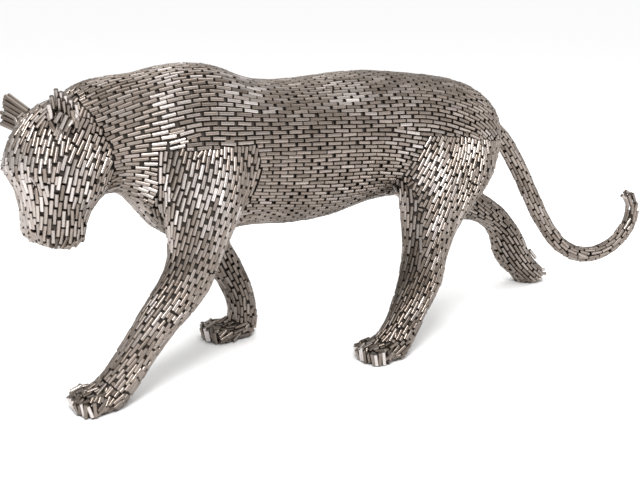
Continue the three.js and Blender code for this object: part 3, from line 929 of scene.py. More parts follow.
    def prune(self) -> None:
        """Cuts away the parts of rows that have come too close to a longer row."""
        spots = [(place, number, index) for number, row in enumerate(self.rows)
                 for index, place in enumerate(row.places)]
        tree = plant_tree([place for place, _, _ in spots])
        gone: set[tuple[int, int]] = set()
        order = sorted(range(len(self.rows)), key=lambda number: len(self.rows[number].places))
        for number in order:
            row = self.rows[number]
            least = self.CROWDED * self.plans[row.zone].pitch
            for index, place in enumerate(row.places):
                for _, count, _ in tree.find_range(place, least):
                    other = spots[count][1:]
                    same = self.rows[other[0]].zone is row.zone
                    if other[0] != number and same and other not in gone:
                        gone.add((number, index))
                        break
        kept: list[Row] = []
        for number, row in enumerate(self.rows):
            part = Row(row.zone, [], [])
            for index, (place, normal) in enumerate(zip(row.places, row.normals)):
                if (number, index) in gone:
                    kept.append(part)
                    part = Row(row.zone, [], [])
                else:
                    part.places.append(place)
                    part.normals.append(normal)
            kept.append(part)
        self.rows = [row for row in kept if len(row.places) > 2]
        log.info("cut away %d places where rows crowd", len(gone))

    def stretch_ends(self) -> None:
        """Runs every row end on until it nearly meets what lies ahead."""
        step, most, strays, back = 1.5 * MM, 14, 4, 3
        self.grid.clear()
        for number, row in enumerate(self.rows):
            dense = Row(row.zone, [], [])
            for before, after in zip(row.places, row.places[1:]):
                dense.places += [before, before.lerp(after, 0.34), before.lerp(after, 0.67)]
            dense.places.append(row.places[-1])
            dense.normals = [row.normals[0]] * len(dense.places)
            self.record(dense, number)
        for number, row in enumerate(self.rows):
            for _ in range(2):
                out = (row.places[-1] - row.places[max(len(row.places) - back, 0)]).normalized()
                outside = 0
                for _ in range(most):
                    place, normal = self.skin.drop(row.places[-1] + out * step)
                    owner = self.anatomy.zone(place)
                    outside += owner is not row.zone
                    if outside > strays or owner is Zone.EYE:
                        break
                    if self.is_blocked(place, out, number, row.zone):
                        break
                    row.places.append(place)
                    row.normals.append(normal)
                self.record(Row(row.zone, row.places[-most:], row.normals[-most:]), number)
                row.places.reverse()
                row.normals.reverse()

    def is_blocked(self, place: Vector, out: Vector, number: int, zone: Zone) -> bool:
        """Tells whether a row end has something straight ahead or close beside it."""
        ahead, beside, abreast = 4.4 * MM, 0.8 * self.plans[zone].pitch, 1.6 * MM
        for other, _, _, other_number, _ in self.near(place):
            if other_number == number:
                continue
            offset = other - place
            along = offset.dot(out)
            if along > 0 and offset.length < ahead:
                return True
            if abs(along) < abreast and offset.length < beside:
                return True
        return False


class Joiner:
    """Cuts the rows into bars, each joint beside the middle of the neighbouring bar."""

    WIDER = ((7.0, 38.0, 7.0, 9.0, 1.5), (-46.0, 40.0, 8.0, 9.0, 1.0), (1.0, 14.0, 8.0, 8.0, -2.0))
    BESIDE = 1.45
    UNRATED = 0.5
    CLOSEST = (4, 6)
    POOR = 0.3
    SWEEPS = 2
    SPREAD = (2.4, 0.42)
    SAWN_SHORT = 0.965

    def __init__(self, layout: Layout, draw: random.Random) -> None:
        """Keeps the layout and the source of chance."""
        self.layout = layout
        self.draw = draw

    def mark_all(self) -> None:
        """Marks the joints of every row, always next the row with the longest marked neighbours."""
        rows = self.layout.rows
        beside = self.neighbours()
        waiting = dict.fromkeys(range(len(rows)), 0)
        marked: set[int] = set()
        while waiting:
            number = max(waiting, key=lambda row: (waiting[row], len(rows[row].places)))
            del waiting[number]
            met = {other: shared for other, shared in beside[number].items() if other in marked}
            closest = sorted(met, key=met.get, reverse=True)[:self.CLOSEST[0]]
            self.mark_joints(rows[number], [rows[other] for other in closest])
            marked.add(number)
            for other, shared in beside[number].items():
                if other in waiting:
                    waiting[other] += shared
        for _ in range(self.SWEEPS):
            for number, row in enumerate(rows):
                most_shared = sorted(beside[number], key=beside[number].get, reverse=True)
                closest = [rows[other] for other in most_shared[:self.CLOSEST[1]]]
                if closest and self.worth(row, closest) < self.POOR:
                    self.mark_joints(row, closest)

    def worth(self, row: Row, neighbours: list[Row]) -> float:
        """Rates how well the joints of a row keep clear of its neighbours', as a share of the pitch."""
        pitch = self.layout.BAR_LENGTH + self.layout.plans[row.zone].joint
        return self.clearance(row.joints, self.met(row, row.lengths(), neighbours), pitch)

    def clearance(self, marks: list[float], met: list[float], pitch: float) -> float:
        """Averages the distance from each joint to the nearest neighbouring joint over the pitch."""
        if not met:
            return self.UNRATED
        far = pitch * 0.8
        near = [min(abs(mark - other) for other in met) for mark in marks]
        near = [gap for gap in near if gap < far]
        return sum(near) / len(near) / pitch if near else self.UNRATED

    def neighbours(self) -> list[dict[int, int]]:
        """Counts for each row at how many places each other row of its zone runs beside it."""
        rows = self.layout.rows
        spots = [(place, number) for number, row in enumerate(rows) for place in row.places]
        tree = plant_tree([place for place, _ in spots])
        beside: list[dict[int, int]] = [{} for _ in rows]
        for number, row in enumerate(rows):
            near = self.BESIDE * self.layout.plans[row.zone].pitch
            for place in row.places:
                for other in {spots[count][1] for _, count, _ in tree.find_range(place, near)}:
                    if other != number and rows[other].zone is row.zone:
                        beside[number][other] = beside[number].get(other, 0) + 1
        return beside

    def mark_joints(self, row: Row, neighbours: list[Row]) -> None:
        """Marks where the bars of a row meet.

        Args:
            row: the row.
            neighbours: the rows beside it that are marked already.
        """
        layout = self.layout
        pitch = layout.BAR_LENGTH + layout.plans[row.zone].joint
        lengths = row.lengths()
        total = lengths[-1]
        met = self.met(row, lengths, neighbours)
        wanted = self.staggered(met, pitch)
        tries = 12 if met else 1
        best, chosen = -1.0, []
        offset = self.draw.uniform(0.0, pitch)
        for index in range(tries):
            start = total / 2 + offset + pitch * index / tries - pitch / 2
            back = self.walk(start, -pitch, total, wanted)[1:]
            marks = sorted(self.walk(start, pitch, total, wanted) + back)
            worth = self.clearance([mark for mark in marks if 0 < mark < total], met, pitch)
            if worth > best:
                best, chosen = worth, marks
        row.joints = self.tidy_ends(chosen, total)

    def tidy_ends(self, marks: list[float], total: float) -> list[float]:
        """Moves the outer joints so that no row ends in a stub or a hole."""
        layout = self.layout
        inner = [mark for mark in marks if 0.0 < mark < total]
        least = layout.SHORTEST + 3.0 * MM
        if inner and inner[0] < least:
            inner[0] = least
        if inner and total - inner[-1] < least:
            inner[-1] = total - least
        far = layout.LONGEST
        marks = [-far] + inner + [total + far]
        afters = marks[1:] + [total + 2 * far]
        return [mark for mark, after in zip(marks, afters) if after - mark > layout.SHORTEST]

    def walk(self, start: float, pitch: float, total: float, wanted: list[float]) -> list[float]:
        """Steps along a row by one pitch at a time, easing towards the wanted joints."""
        pull, farthest = 1.8 * MM, 14.0 * MM
        marks = [start]
        while -abs(pitch) < marks[-1] < total + abs(pitch):
            mark = marks[-1] + pitch
            if wanted:
                best = min(wanted, key=lambda spot: abs(spot - mark))
                if abs(best - mark) < farthest:
                    mark += max(-pull, min(pull, best - mark))
            marks.append(mark)
        return marks

    def met(self, row: Row, lengths: list[float], neighbours: list[Row]) -> list[float]:
        """Finds the running lengths of a row that lie beside its neighbours' joints."""
        tree = plant_tree(row.places)
        met = []
        for neighbour in neighbours:
            run = neighbour.lengths()
            for joint in neighbour.joints:
                if not 0 <= joint <= run[-1]:
                    continue
                spot = self.at(neighbour.places, run, joint)
                _, index, reach = tree.find(spot)
                if reach < self.BESIDE * self.layout.plans[row.zone].pitch:
                    met.append(lengths[index] + (spot - row.places[index]).dot(row.way(index)))
        return sorted(met)

    @staticmethod
    def staggered(met: list[float], pitch: float) -> list[float]:
        """Finds the running lengths that lie farthest from the neighbours' joints."""
        least, most = 0.3 * pitch, 1.6 * pitch
        wanted = [(one + two) / 2 for one, two in zip(met, met[1:]) if least < two - one < most]
        if met:
            wanted = [met[0] - pitch / 2] + wanted + [met[-1] + pitch / 2]
        return wanted

    @staticmethod
    def at(values: list[Vector], lengths: list[float], mark: float) -> Vector:
        """Reads a list of places or normals at a running length."""
        mark = min(max(mark, 0.0), lengths[-1])
        for index in range(1, len(lengths)):
            if lengths[index] >= mark:
                span = lengths[index] - lengths[index - 1]
                share = (mark - lengths[index - 1]) / span if span > 0 else 0.0
                return values[index - 1].lerp(values[index], share)
        return values[-1].copy()

    def cut(self, row: Row) -> list[Bar]:
        """Cuts one row into bars.

        Args:
            row: a row with its joints marked.

        Returns:
            The bars, lying on the surface with a little unevenness of hand.
        """
        layout = self.layout
        plan = layout.plans[row.zone]
        lengths = row.lengths()
        total = lengths[-1]
        gaps = self.openings(row, lengths)
        highest = 1.5 * MM
        bars = []
        for (before, gap), (after, next_gap) in zip(zip(row.joints, gaps), zip(row.joints[1:], gaps[1:])):
            start, end = max(before + gap / 2, 0.0), min(after - next_gap / 2, total)
            if end - start < layout.SHORTEST:
                continue
            first, second = self.at(row.places, lengths, start), self.at(row.places, lengths, end)
            normal = self.at(row.normals, lengths, (start + end) / 2).normalized()
            top = self.at(row.places, lengths, (start + end) / 2)
            middle = (first + second) / 2
            sag = max((top - middle).dot(normal), 0.0)
            length = min((second - first).length, layout.LONGEST)
            axis = (second - first).normalized()
            axis = self.unsteady(axis, normal, plan)
            lift = self.draw.gauss(0.0, plan.lift) * MM
            depth = layout.BAR_RADIUS - sag * 0.5
            middle = middle - normal * (depth - max(min(lift, highest), -highest))
            length *= self.draw.uniform(self.SAWN_SHORT, 1.0)
            bars.append(Bar(middle, axis, normal, length, row.zone))
        return bars

    def openings(self, row: Row, lengths: list[float]) -> list[float]:
        """Draws how far each joint of a row stands open, from nearly closed to over twice the plan."""
        joint = self.layout.plans[row.zone].joint
        least, most = 0.4 * MM, 2.3 * joint
        gaps = []
        for mark in row.joints:
            spot = self.at(row.places, lengths, mark)
            more = soft_sum(self.WIDER, spot) * MM
            gaps.append(min(max(self.draw.gammavariate(*self.SPREAD) * (joint + more), least), most))
        return gaps

    def unsteady(self, axis: Vector, normal: Vector, plan: RowPlan) -> Vector:
        """Turns an axis a little sideways and up, as a hand-held bar is."""
        across = normal.cross(axis)
        yaw = math.radians(self.draw.gauss(0.0, plan.yaw))
        tip = math.radians(self.draw.gauss(0.0, plan.tip))
        return (axis + across * math.tan(yaw) + normal * math.tan(tip)).normalized()


@dataclass
class Filler:
    """Fills the bare spots between the rows with odd bars, as the welder did last."""

    layout: Layout
    draw: random.Random
    bare: float = 5.75 * MM
    snug: float = 5.05 * MM
    sink: float = 1.4 * MM
    cell: float = 8.0 * MM
    step: float = 1.5 * MM
    turns: int = 6
    aside_worth: float = 0.75
    least: float = 9.0 * MM
    stub: float = 0.012
    same_face: float = 0.7

    def fill(self, bars: list[Bar]) -> list[Bar]:
        """Lays the odd bars.

        Args:
            bars: the bars that are laid already.

        Returns:
            The odd bars.
        """
        self.cells: dict[Cell, list[Vector]] = {}
        for bar in bars:
            self.enter(bar)
        skin, depth = self.layout.skin, self.layout.BAR_RADIUS
        spots = []
        for face in skin.faces:
            middle = sum((skin.points[v] for v in face), Vector()) / len(face)
            normal = sum((skin.normals[v] for v in face), Vector()).normalized()
            gap = self.gap(middle - normal * depth)
            if gap > self.bare:
                spots.append((gap, tuple(middle), tuple(normal)))
        spots.sort(reverse=True)
        found = []
        for _, middle, normal in spots:
            place, normal = Vector(middle), Vector(normal)
            zone = self.layout.anatomy.zone(place)
            if zone in (Zone.EAR, Zone.EYE) or self.gap(place - normal * depth) < self.bare:
                continue
            bar = self.fit(place, normal, zone)
            self.enter(bar)
            found.append(bar)
        return found

    def enter(self, bar: Bar) -> None:
        """Enters the axis of a bar in the cells."""
        count = max(round(bar.length / (2 * self.step)), 1)
        for index in range(count + 1):
            spot = bar.middle + bar.axis * bar.length * (index / count - 0.5)
            self.cells.setdefault(cell_of(spot, self.cell), []).append(spot)

    def gap(self, spot: Vector) -> float:
        """Distance from a spot to the nearest axis, as far as one cell."""
        least = self.cell * self.cell
        for cell in cells_round(spot, self.cell):
            for other in self.cells.get(cell, ()):
                least = min(least, (other - spot).length_squared)
        return math.sqrt(least)

    def fit(self, place: Vector, normal: Vector, zone: Zone) -> Bar:
        """Fits the longest bar that a bare spot takes, or a stub on end in the smallest ones."""
        layout = self.layout
        depth = layout.BAR_RADIUS
        flow = layout.flows[zone].way(place, normal, UP_AND_BACK)
        across = normal.cross(flow)
        best, first, last = 0.0, place, place
        for turn in range(self.turns):
            angle = math.pi * turn / self.turns
            way = flow * math.cos(angle) + across * math.sin(angle)
            one, two = self.reach(place, normal, way), self.reach(place, normal, -way)
            worth = (one - two).length * (1.0 if turn == 0 else self.aside_worth)
            if worth > best:
                best, first, last = worth, two, one
        span = last - first
        if span.length < self.least:
            return Bar(place - normal * (self.stub / 2 + self.sink * 0.5), normal, flow, self.stub, zone)
        middle_top, middle_normal = layout.skin.drop((first + last) / 2)
        sag = max((middle_top - (first + last) / 2).dot(middle_normal), 0.0)
        middle = (first + last) / 2 - middle_normal * (depth + self.sink - sag * 0.5)
        return Bar(middle, span.normalized(), middle_normal, min(span.length, layout.BAR_LENGTH), zone)

    def reach(self, place: Vector, normal: Vector, way: Vector) -> Vector:
        """Runs one way over the skin until another bar is close."""
        spot = place
        steps = int(self.layout.BAR_LENGTH / 2 / self.step)
        for _ in range(steps):
            after, after_normal = self.layout.skin.drop(spot + way * self.step)
            if self.gap(after - after_normal * self.layout.BAR_RADIUS) < self.snug:
                break
            if after_normal.dot(normal) < self.same_face:
                break
            spot = after
        return spot


@dataclass
class Tones:
    """How bright each bar is, from sanding with painted highlight and painted shade in soft spots given on
    the figure.
    """

    # Soft spots of painted highlight where the light falls, partly bars sanded bright.
    sanding_and_highlight_spots: list[SoftSpot] = field(default_factory=lambda: [
        (-53.0, 60.0, 3.0, 7.0, 0.45), (-54.0, 50.5, 4.0, 5.0, 0.3), (-37.0, 60.0, 5.0, 4.5, 0.5),
        (-11.0, 58.0, 5.0, 2.2, 0.65), (2.0, 50.0, 4.0, 6.0, 0.4), (7.0, 38.0, 5.5, 10.0, 0.5),
        (-77.0, 46.0, 7.0, 6.5, 0.72), (-48.0, 40.0, 7.0, 9.0, 0.62), (21.0, 45.5, 3.2, 1.8, 0.6),
        (-60.0, 17.0, 6.0, 6.0, 0.12), (-57.0, 42.0, 3.0, 5.0, 0.35), (-84.0, 42.0, 4.0, 14.0, 0.3),
    ])
    # Soft spots of painted shade, darker where less light falls.
    painted_shade_spots: list[SoftSpot] = field(default_factory=lambda: [
        (1.0, 15.0, 7.0, 9.0, 0.5), (-31.0, 14.0, 7.0, 10.0, 0.2), (-66.0, 62.0, 7.0, 3.0, 0.15),
        (-30.0, 31.0, 14.0, 3.0, 0.15), (-58.0, 20.0, 9.0, 12.0, 0.1),
    ])
    # Plain tone of each zone; the head and left foreleg are set lighter as painted highlight.
    plain: dict[Zone, float] = field(default_factory=lambda: {
        Zone.BODY: 0.63, Zone.HEAD: 0.76, Zone.LEFT_FORELEG: 0.7, Zone.LEFT_HINDLEG: 0.6,
        Zone.LEFT_THIGH_FRONT: 0.5, Zone.TAIL: 0.65, Zone.RIGHT_HINDLEG: 0.6, Zone.RIGHT_FORELEG: 0.52,
    })
    full_length: float = 30.0 * MM
    other: float = 0.45
    unevenness: float = 0.14
    # Painted shade on bars that face up and on bars that face down.
    top_shade: float = 0.34
    under_shade: float = 0.3
    most_glow: float = 0.85
    glow_share: float = 0.62
    glow_spread: Spot = (0.08, 0.3)
    brightest: float = 0.95

    def dress(self, bars: list[Bar], draw: random.Random) -> None:
        """Gives each bar its tone, with painted shade, and its brightness, with painted highlight."""
        for bar in bars:
            whole = min(bar.length / self.full_length, 1.0) ** 2
            # Painted highlight from the soft spots, partly sanding; short bars get less.
            sanding_and_highlight = min(soft_sum(self.sanding_and_highlight_spots, bar.middle), self.most_glow) * whole
            # Painted shade from the soft spots and on bars facing up or down.
            shade = soft_sum(self.painted_shade_spots, bar.middle)
            shade += self.top_shade * max(bar.normal.z, 0.0) + self.under_shade * max(-bar.normal.z, 0.0)
            tone = self.plain.get(bar.zone, self.other) - shade
            bar.tone = min(max(draw.gauss(tone, self.unevenness), 0.0), 1.0)
            spread = self.glow_spread[0] + self.glow_spread[1] * sanding_and_highlight
            drawn = draw.gauss(sanding_and_highlight * self.glow_share, spread)
            bar.sanding_and_highlight = max(bar.sanding_and_highlight, min(max(drawn, 0.0), self.brightest))


class Bench:
    """Where the nodes of one material, or of the sky, are joined."""

    def __init__(self, owner: bpy.types.Material | bpy.types.World) -> None:
        """Opens the nodes of a new material or sky."""
        owner.use_nodes = True
        self.tree = owner.node_tree

    def node(self, kind: str, inputs: dict[str | int, Any], **settings: Any) -> bpy.types.Node:
        """Adds a node.

        Args:
            kind: its type, without the words that all of them start with.
            inputs: the plain value or the linked socket of each input that is set.
            settings: the node's own settings.

        Returns:
            The node.
        """
        node = self.tree.nodes.new("ShaderNode" + kind)
        for name, value in settings.items():
            setattr(node, name, value)
        self.wire(node, inputs)
        return node

    def wire(self, node: bpy.types.Node, inputs: dict[str | int, Any]) -> None:
        """Sets or links some inputs of a node."""
        for name, value in inputs.items():
            if isinstance(value, Socket):
                self.tree.links.new(value, node.inputs[name])
            else:
                node.inputs[name].default_value = value

    def wire_shader(self, inputs: dict[str | int, Any]) -> None:
        """Sets or links inputs of the material's shader."""
        self.wire(self.tree.nodes["Principled BSDF"], inputs)

    def noise(self, scale: float, detail: float) -> Socket:
        """Adds a noise in the figure's own coordinates."""
        place = self.node("TexCoord", {}).outputs["Object"]
        return self.node("TexNoise", {"Scale": scale, "Detail": detail, "Vector": place}).outputs["Fac"]

    def ranged(self, value: Socket, *ends: float) -> Socket:
        """Maps a value from one range (the first two ends) to another (the last two)."""
        names = ("From Min", "From Max", "To Min", "To Max")
        return self.node("MapRange", {"Value": value, **dict(zip(names, ends))}).outputs["Result"]

    def mix(self, share: Socket, low: Colour | Socket, high: Colour) -> Socket:
        """Mixes a plain or linked colour towards a plain one by a share."""
        under = low if isinstance(low, Socket) else (*low, 1.0)
        inputs = {"Factor": share, 6: under, 7: (*high, 1.0)}
        return self.node("Mix", inputs, data_type="RGBA").outputs[2]

    def relief(self, height: Socket, strength: float, distance: float) -> Socket:
        """Turns a noise into a fine unevenness of the surface."""
        inputs = {"Strength": strength, "Distance": distance, "Height": height}
        return self.node("Bump", inputs).outputs["Normal"]

    def off_middle(self, along: Socket) -> Socket:
        """Turns the place along a bar, 0 to 1, into its distance from the middle, 0 to 1."""
        for operation, amount in (("SUBTRACT", 0.5), ("MULTIPLY", 2.0), ("ABSOLUTE", 0.0)):
            along = self.node("Math", {0: along, 1: amount}, operation=operation).outputs[0]
        return along


@dataclass(frozen=True)
class BarSteel:
    """Satin stainless steel, sanded after welding, warm grey with paler bars among it, partly sanded bright
    and partly painted highlight, and darker bars of painted shade.
    """

    dark: Colour = (0.095, 0.077, 0.063)
    light: Colour = (0.36, 0.307, 0.272)
    # pale colour of bars sanded bright, used also for painted highlight
    sanding_and_highlight_colour: Colour = (0.82, 0.765, 0.745)
    straw: Colour = (0.19, 0.145, 0.105)
    end_scale: Colour = (0.07, 0.055, 0.045)
    streak_noise: Spot = (160.0, 3.0)
    streaks: Arc = (0.45, 0.8, 0.0, 0.45)
    cut_ends: Arc = (0.94, 1.0, 0.0, 0.9)
    grain_noise: Spot = (700.0, 2.0)
    roughness: Arc = (0.3, 0.7, 0.24, 0.4)
    grain: Spot = (0.12, 0.0004)

    def make(self) -> bpy.types.Material:
        """Builds the node material from the tone, place along the bar and brightness that each bar carries,
        with their painted shade and painted highlight.

        Returns:
            The material.
        """
        material = bpy.data.materials.new("bar_steel")
        bench = Bench(material)
        finish_and_painted_light = bench.node("Attribute", {}, attribute_name="finish_and_painted_light").outputs["Color"]
        # Red: tone with painted shade; Green: place along the bar; Blue: brightness from sanding and painted
        # highlight.
        parts = bench.node("SeparateColor", {"Color": finish_and_painted_light}).outputs
        body = bench.mix(parts["Red"], self.dark, self.light)
        streaks = bench.ranged(bench.noise(*self.streak_noise), *self.streaks)
        pale = bench.mix(parts["Blue"], bench.mix(streaks, body, self.straw), self.sanding_and_highlight_colour)
        ends = bench.ranged(bench.off_middle(parts["Green"]), *self.cut_ends)
        fine = bench.noise(*self.grain_noise)
        bench.wire_shader({
            "Metallic": 1.0,
            "Base Color": bench.mix(ends, pale, self.end_scale),
            "Roughness": bench.ranged(fine, *self.roughness),
            "Normal": bench.relief(fine, *self.grain),
        })
        return material


@dataclass(frozen=True)
class PaintedShadeLining:
    """Painted shade: dark metal behind the bars that stands for the shadowed inside and the welds."""

    low: Colour = (0.020, 0.016, 0.013)
    high: Colour = (0.075, 0.060, 0.050)
    metallic: float = 0.4
    roughness: float = 0.75
    cloud_noise: Spot = (90.0, 4.0)
    lumps: Spot = (0.4, 0.001)

    def make(self) -> bpy.types.Material:
        """Builds the node material of the lining."""
        material = bpy.data.materials.new("painted_shade_lining")
        bench = Bench(material)
        cloud = bench.noise(*self.cloud_noise)
        bench.wire_shader({
            "Metallic": self.metallic,
            "Roughness": self.roughness,
            "Base Color": bench.mix(cloud, self.low, self.high),
            "Normal": bench.relief(cloud, *self.lumps),
        })
        return material


@dataclass
class BarStock:
    """Round bar cut to length with broken edges, drawn a little over its 8 mm so that the rows close."""

    sides: int = 12
    radius: float = 4.35 * MM
    chamfer: float = 0.6 * MM
    flatness: float = 2.15

    def mesh(self, name: str, bars: list[Bar]) -> bpy.types.Mesh:
        """Makes one mesh of many bars.

        Args:
            name: name of the mesh.
            bars: the bars.

        Returns:
            A mesh of closed bars that carry their tone and brightness, painted shade and painted highlight
            among them.
        """
        count, sides, rings = len(bars), self.sides, 4
        middle = np.array([b.middle for b in bars])
        axis = np.array([b.axis for b in bars])
        normal = np.array([b.normal for b in bars])
        across = np.cross(axis, normal)
        across /= np.linalg.norm(across, axis=1)[:, None]
        normal = np.cross(across, axis)
        half = np.array([b.length / 2 for b in bars])
        steps = np.stack([-half, -half + self.chamfer, half - self.chamfer, half], axis=1)
        end_radius = self.radius - self.chamfer
        radii = np.array([end_radius, self.radius, self.radius, end_radius])
        turn = 2 * math.pi * (np.arange(sides) + 0.5) / sides
        wide, high = (np.sign(f(turn)) * np.abs(f(turn)) ** (2 / self.flatness) for f in (np.cos, np.sin))
        wheel = wide[None, :, None] * across[:, None, :] + high[None, :, None] * normal[:, None, :]
        points = (
            middle[:, None, None, :]
            + steps[:, :, None, None] * axis[:, None, None, :]
            + radii[None, :, None, None] * wheel[:, None, :, :]
        )
        ring = np.arange(sides)
        after = (ring + 1) % sides
        quads = np.concatenate([
            np.stack([low + ring, low + after, low + sides + after, low + sides + ring], axis=1)
            for low in range(0, (rings - 1) * sides, sides)
        ])
        per_bar = np.concatenate([quads.ravel(), ring[::-1], (rings - 1) * sides + ring])
        sizes = np.concatenate([np.full(len(quads), 4), [sides, sides]])
        corners = (per_bar[None, :] + (np.arange(count) * rings * sides)[:, None]).ravel()
        totals = np.tile(sizes, count)
        mesh = bpy.data.meshes.new(name)
        mesh.vertices.add(count * rings * sides)
        mesh.vertices.foreach_set("co", points.astype(np.float32).ravel())
        mesh.loops.add(len(corners))
        mesh.loops.foreach_set("vertex_index", corners.astype(np.int32))
        mesh.polygons.add(len(totals))
        mesh.polygons.foreach_set("loop_start", (np.cumsum(totals) - totals).astype(np.int32))
        mesh.polygons.foreach_set("loop_total", totals.astype(np.int32))
        mesh.update(calc_edges=True)
        mesh.validate()
        self.shade(mesh, sides)
        self.colour(mesh, bars, rings)
        return mesh

    def shade(self, mesh: bpy.types.Mesh, sides: int) -> None:
        """Shades the round sides smooth and keeps the cut ends crisp."""
        mesh.polygons.foreach_set("use_smooth", np.ones(len(mesh.polygons), dtype=bool))
        ends = np.zeros(len(mesh.edges) * 2, dtype=np.int32)
        mesh.edges.foreach_get("vertices", ends)
        rings = ends.reshape(-1, 2) // sides
        mesh.edges.foreach_set("use_edge_sharp", rings[:, 0] == rings[:, 1])

    def colour(self, mesh: bpy.types.Mesh, bars: list[Bar], rings: int) -> None:
        """Writes each bar's tone with its painted shade, the place along it and its brightness from sanding
        and painted highlight.
        """
        values = np.zeros((len(bars), rings, self.sides, 4), dtype=np.float32)
        values[..., 0] = np.array([b.tone for b in bars])[:, None, None]
        values[..., 1] = np.array([0.0, 0.0, 1.0, 1.0])[None, :, None]
        values[..., 2] = np.array([b.sanding_and_highlight for b in bars])[:, None, None]
        values[..., 3] = 1.0
        finish_and_painted_light = mesh.color_attributes.new("finish_and_painted_light", "FLOAT_COLOR", "POINT")
        finish_and_painted_light.data.foreach_set("color", values.ravel())


@dataclass
class EarBars:
    """The two ears: an open cup of short bars on the left, a fan of long bars on the right."""

    anatomy: Anatomy
    cup_bars: int = 10
    cup_courses: int = 2
    cup_half_width: float = 0.027
    cup_half_depth: float = 0.015
    cup_inside: int = 6
    cup_shift: Point = (0.006, -0.003, 0.0)
    cup_mouth: Point = (-0.35, -0.9, 0.0)
    cup_arc: Spot = (-118.0, 236.0)
    cup_swell: Spot = (0.92, 0.95)
    cup_foot: float = 0.006
    cup_rise: float = 0.0235
    cup_dip: float = 0.008
    cup_lengths: Spot = (0.022, 0.030)
    inside_lengths: Spot = (0.024, 0.032)
    fan_bars: int = 7
    fan_half_width: float = 0.026
    fan_length: float = 0.062
    fan_foot: float = 0.026
    fan_layer: float = 0.0065
    fan_way: Vector = field(default_factory=lambda: Vector((-0.606, 0.704, 0.422)))

    def left(self, draw: random.Random) -> list[Bar]:
        """Stands courses of bars round the left ear's cup and leans a few inside it."""
        rise = self.anatomy.ear_rises[Side.LEFT].normalized()
        root = self.anatomy.ear_roots[Side.LEFT] + Vector(self.cup_shift)
        out = Vector(self.cup_mouth)
        out = (out - rise * out.dot(rise)).normalized()
        wide = rise.cross(out).normalized()
        bars = []
        for course in range(self.cup_courses):
            for index in range(self.cup_bars):
                start, whole = self.cup_arc
                turn = math.radians(start + whole * (index + 0.5 * (course % 2)) / (self.cup_bars - 1))
                swell = self.cup_swell[course]
                place = root + wide * math.sin(turn) * self.cup_half_width * swell
                place -= out * math.cos(turn) * self.cup_half_depth * swell
                height = self.cup_foot + course * self.cup_rise + draw.uniform(-0.003, 0.003)
                height -= self.cup_dip * abs(math.sin(turn)) * course
                lean = wide * math.sin(turn) * (0.2 - 0.22 * course) + out * draw.uniform(-0.15, 0.15)
                axis = (rise + lean + wide * draw.uniform(-0.16, 0.16)).normalized()
                normal = (wide * math.sin(turn) - out * math.cos(turn)).normalized()
                length = draw.uniform(*self.cup_lengths)
                bars.append(Bar(place + rise * height, axis, normal, length, Zone.EAR))
        for index in range(self.cup_inside):
            share = (index + 0.5) / self.cup_inside * 2 - 1
            place = root + wide * share * self.cup_half_width * 0.7 + rise * draw.uniform(0.004, 0.026)
            axis = (rise + wide * 0.4 + out * draw.uniform(-0.2, 0.1)).normalized()
            length = draw.uniform(*self.inside_lengths)
            bars.append(Bar(place - out * 0.003, axis, out, length, Zone.EAR))
        return bars

    def right(self, draw: random.Random) -> list[Bar]:
        """Fans long bars out along the right ear."""
        rise = self.fan_way.normalized()
        root = self.anatomy.ear_roots[Side.RIGHT] + Vector((0.0, 0.0, -0.006))
        wide = Vector((0.42, -0.05, 0.90))
        wide = (wide - rise * wide.dot(rise)).normalized()
        back = rise.cross(wide).normalized()
        bars = []
        for layer in range(2):
            for index in range(self.fan_bars - layer):
                share = 2 * (index + 0.5 * layer) / (self.fan_bars - 1) - 1
                aside = share * self.fan_half_width
                height = self.fan_foot + 0.35 * aside + draw.uniform(-0.006, 0.006) - 0.004 * layer
                deep = self.fan_layer * (0.5 - layer) + draw.uniform(-0.0015, 0.0015)
                place = root + wide * aside + back * deep
                axis = (rise + wide * (share * 0.10 + draw.uniform(-0.03, 0.03))).normalized()
                length = self.fan_length * draw.uniform(0.85, 1.0)
                bars.append(Bar(place + rise * height, axis, back, length, Zone.EAR))
        return bars


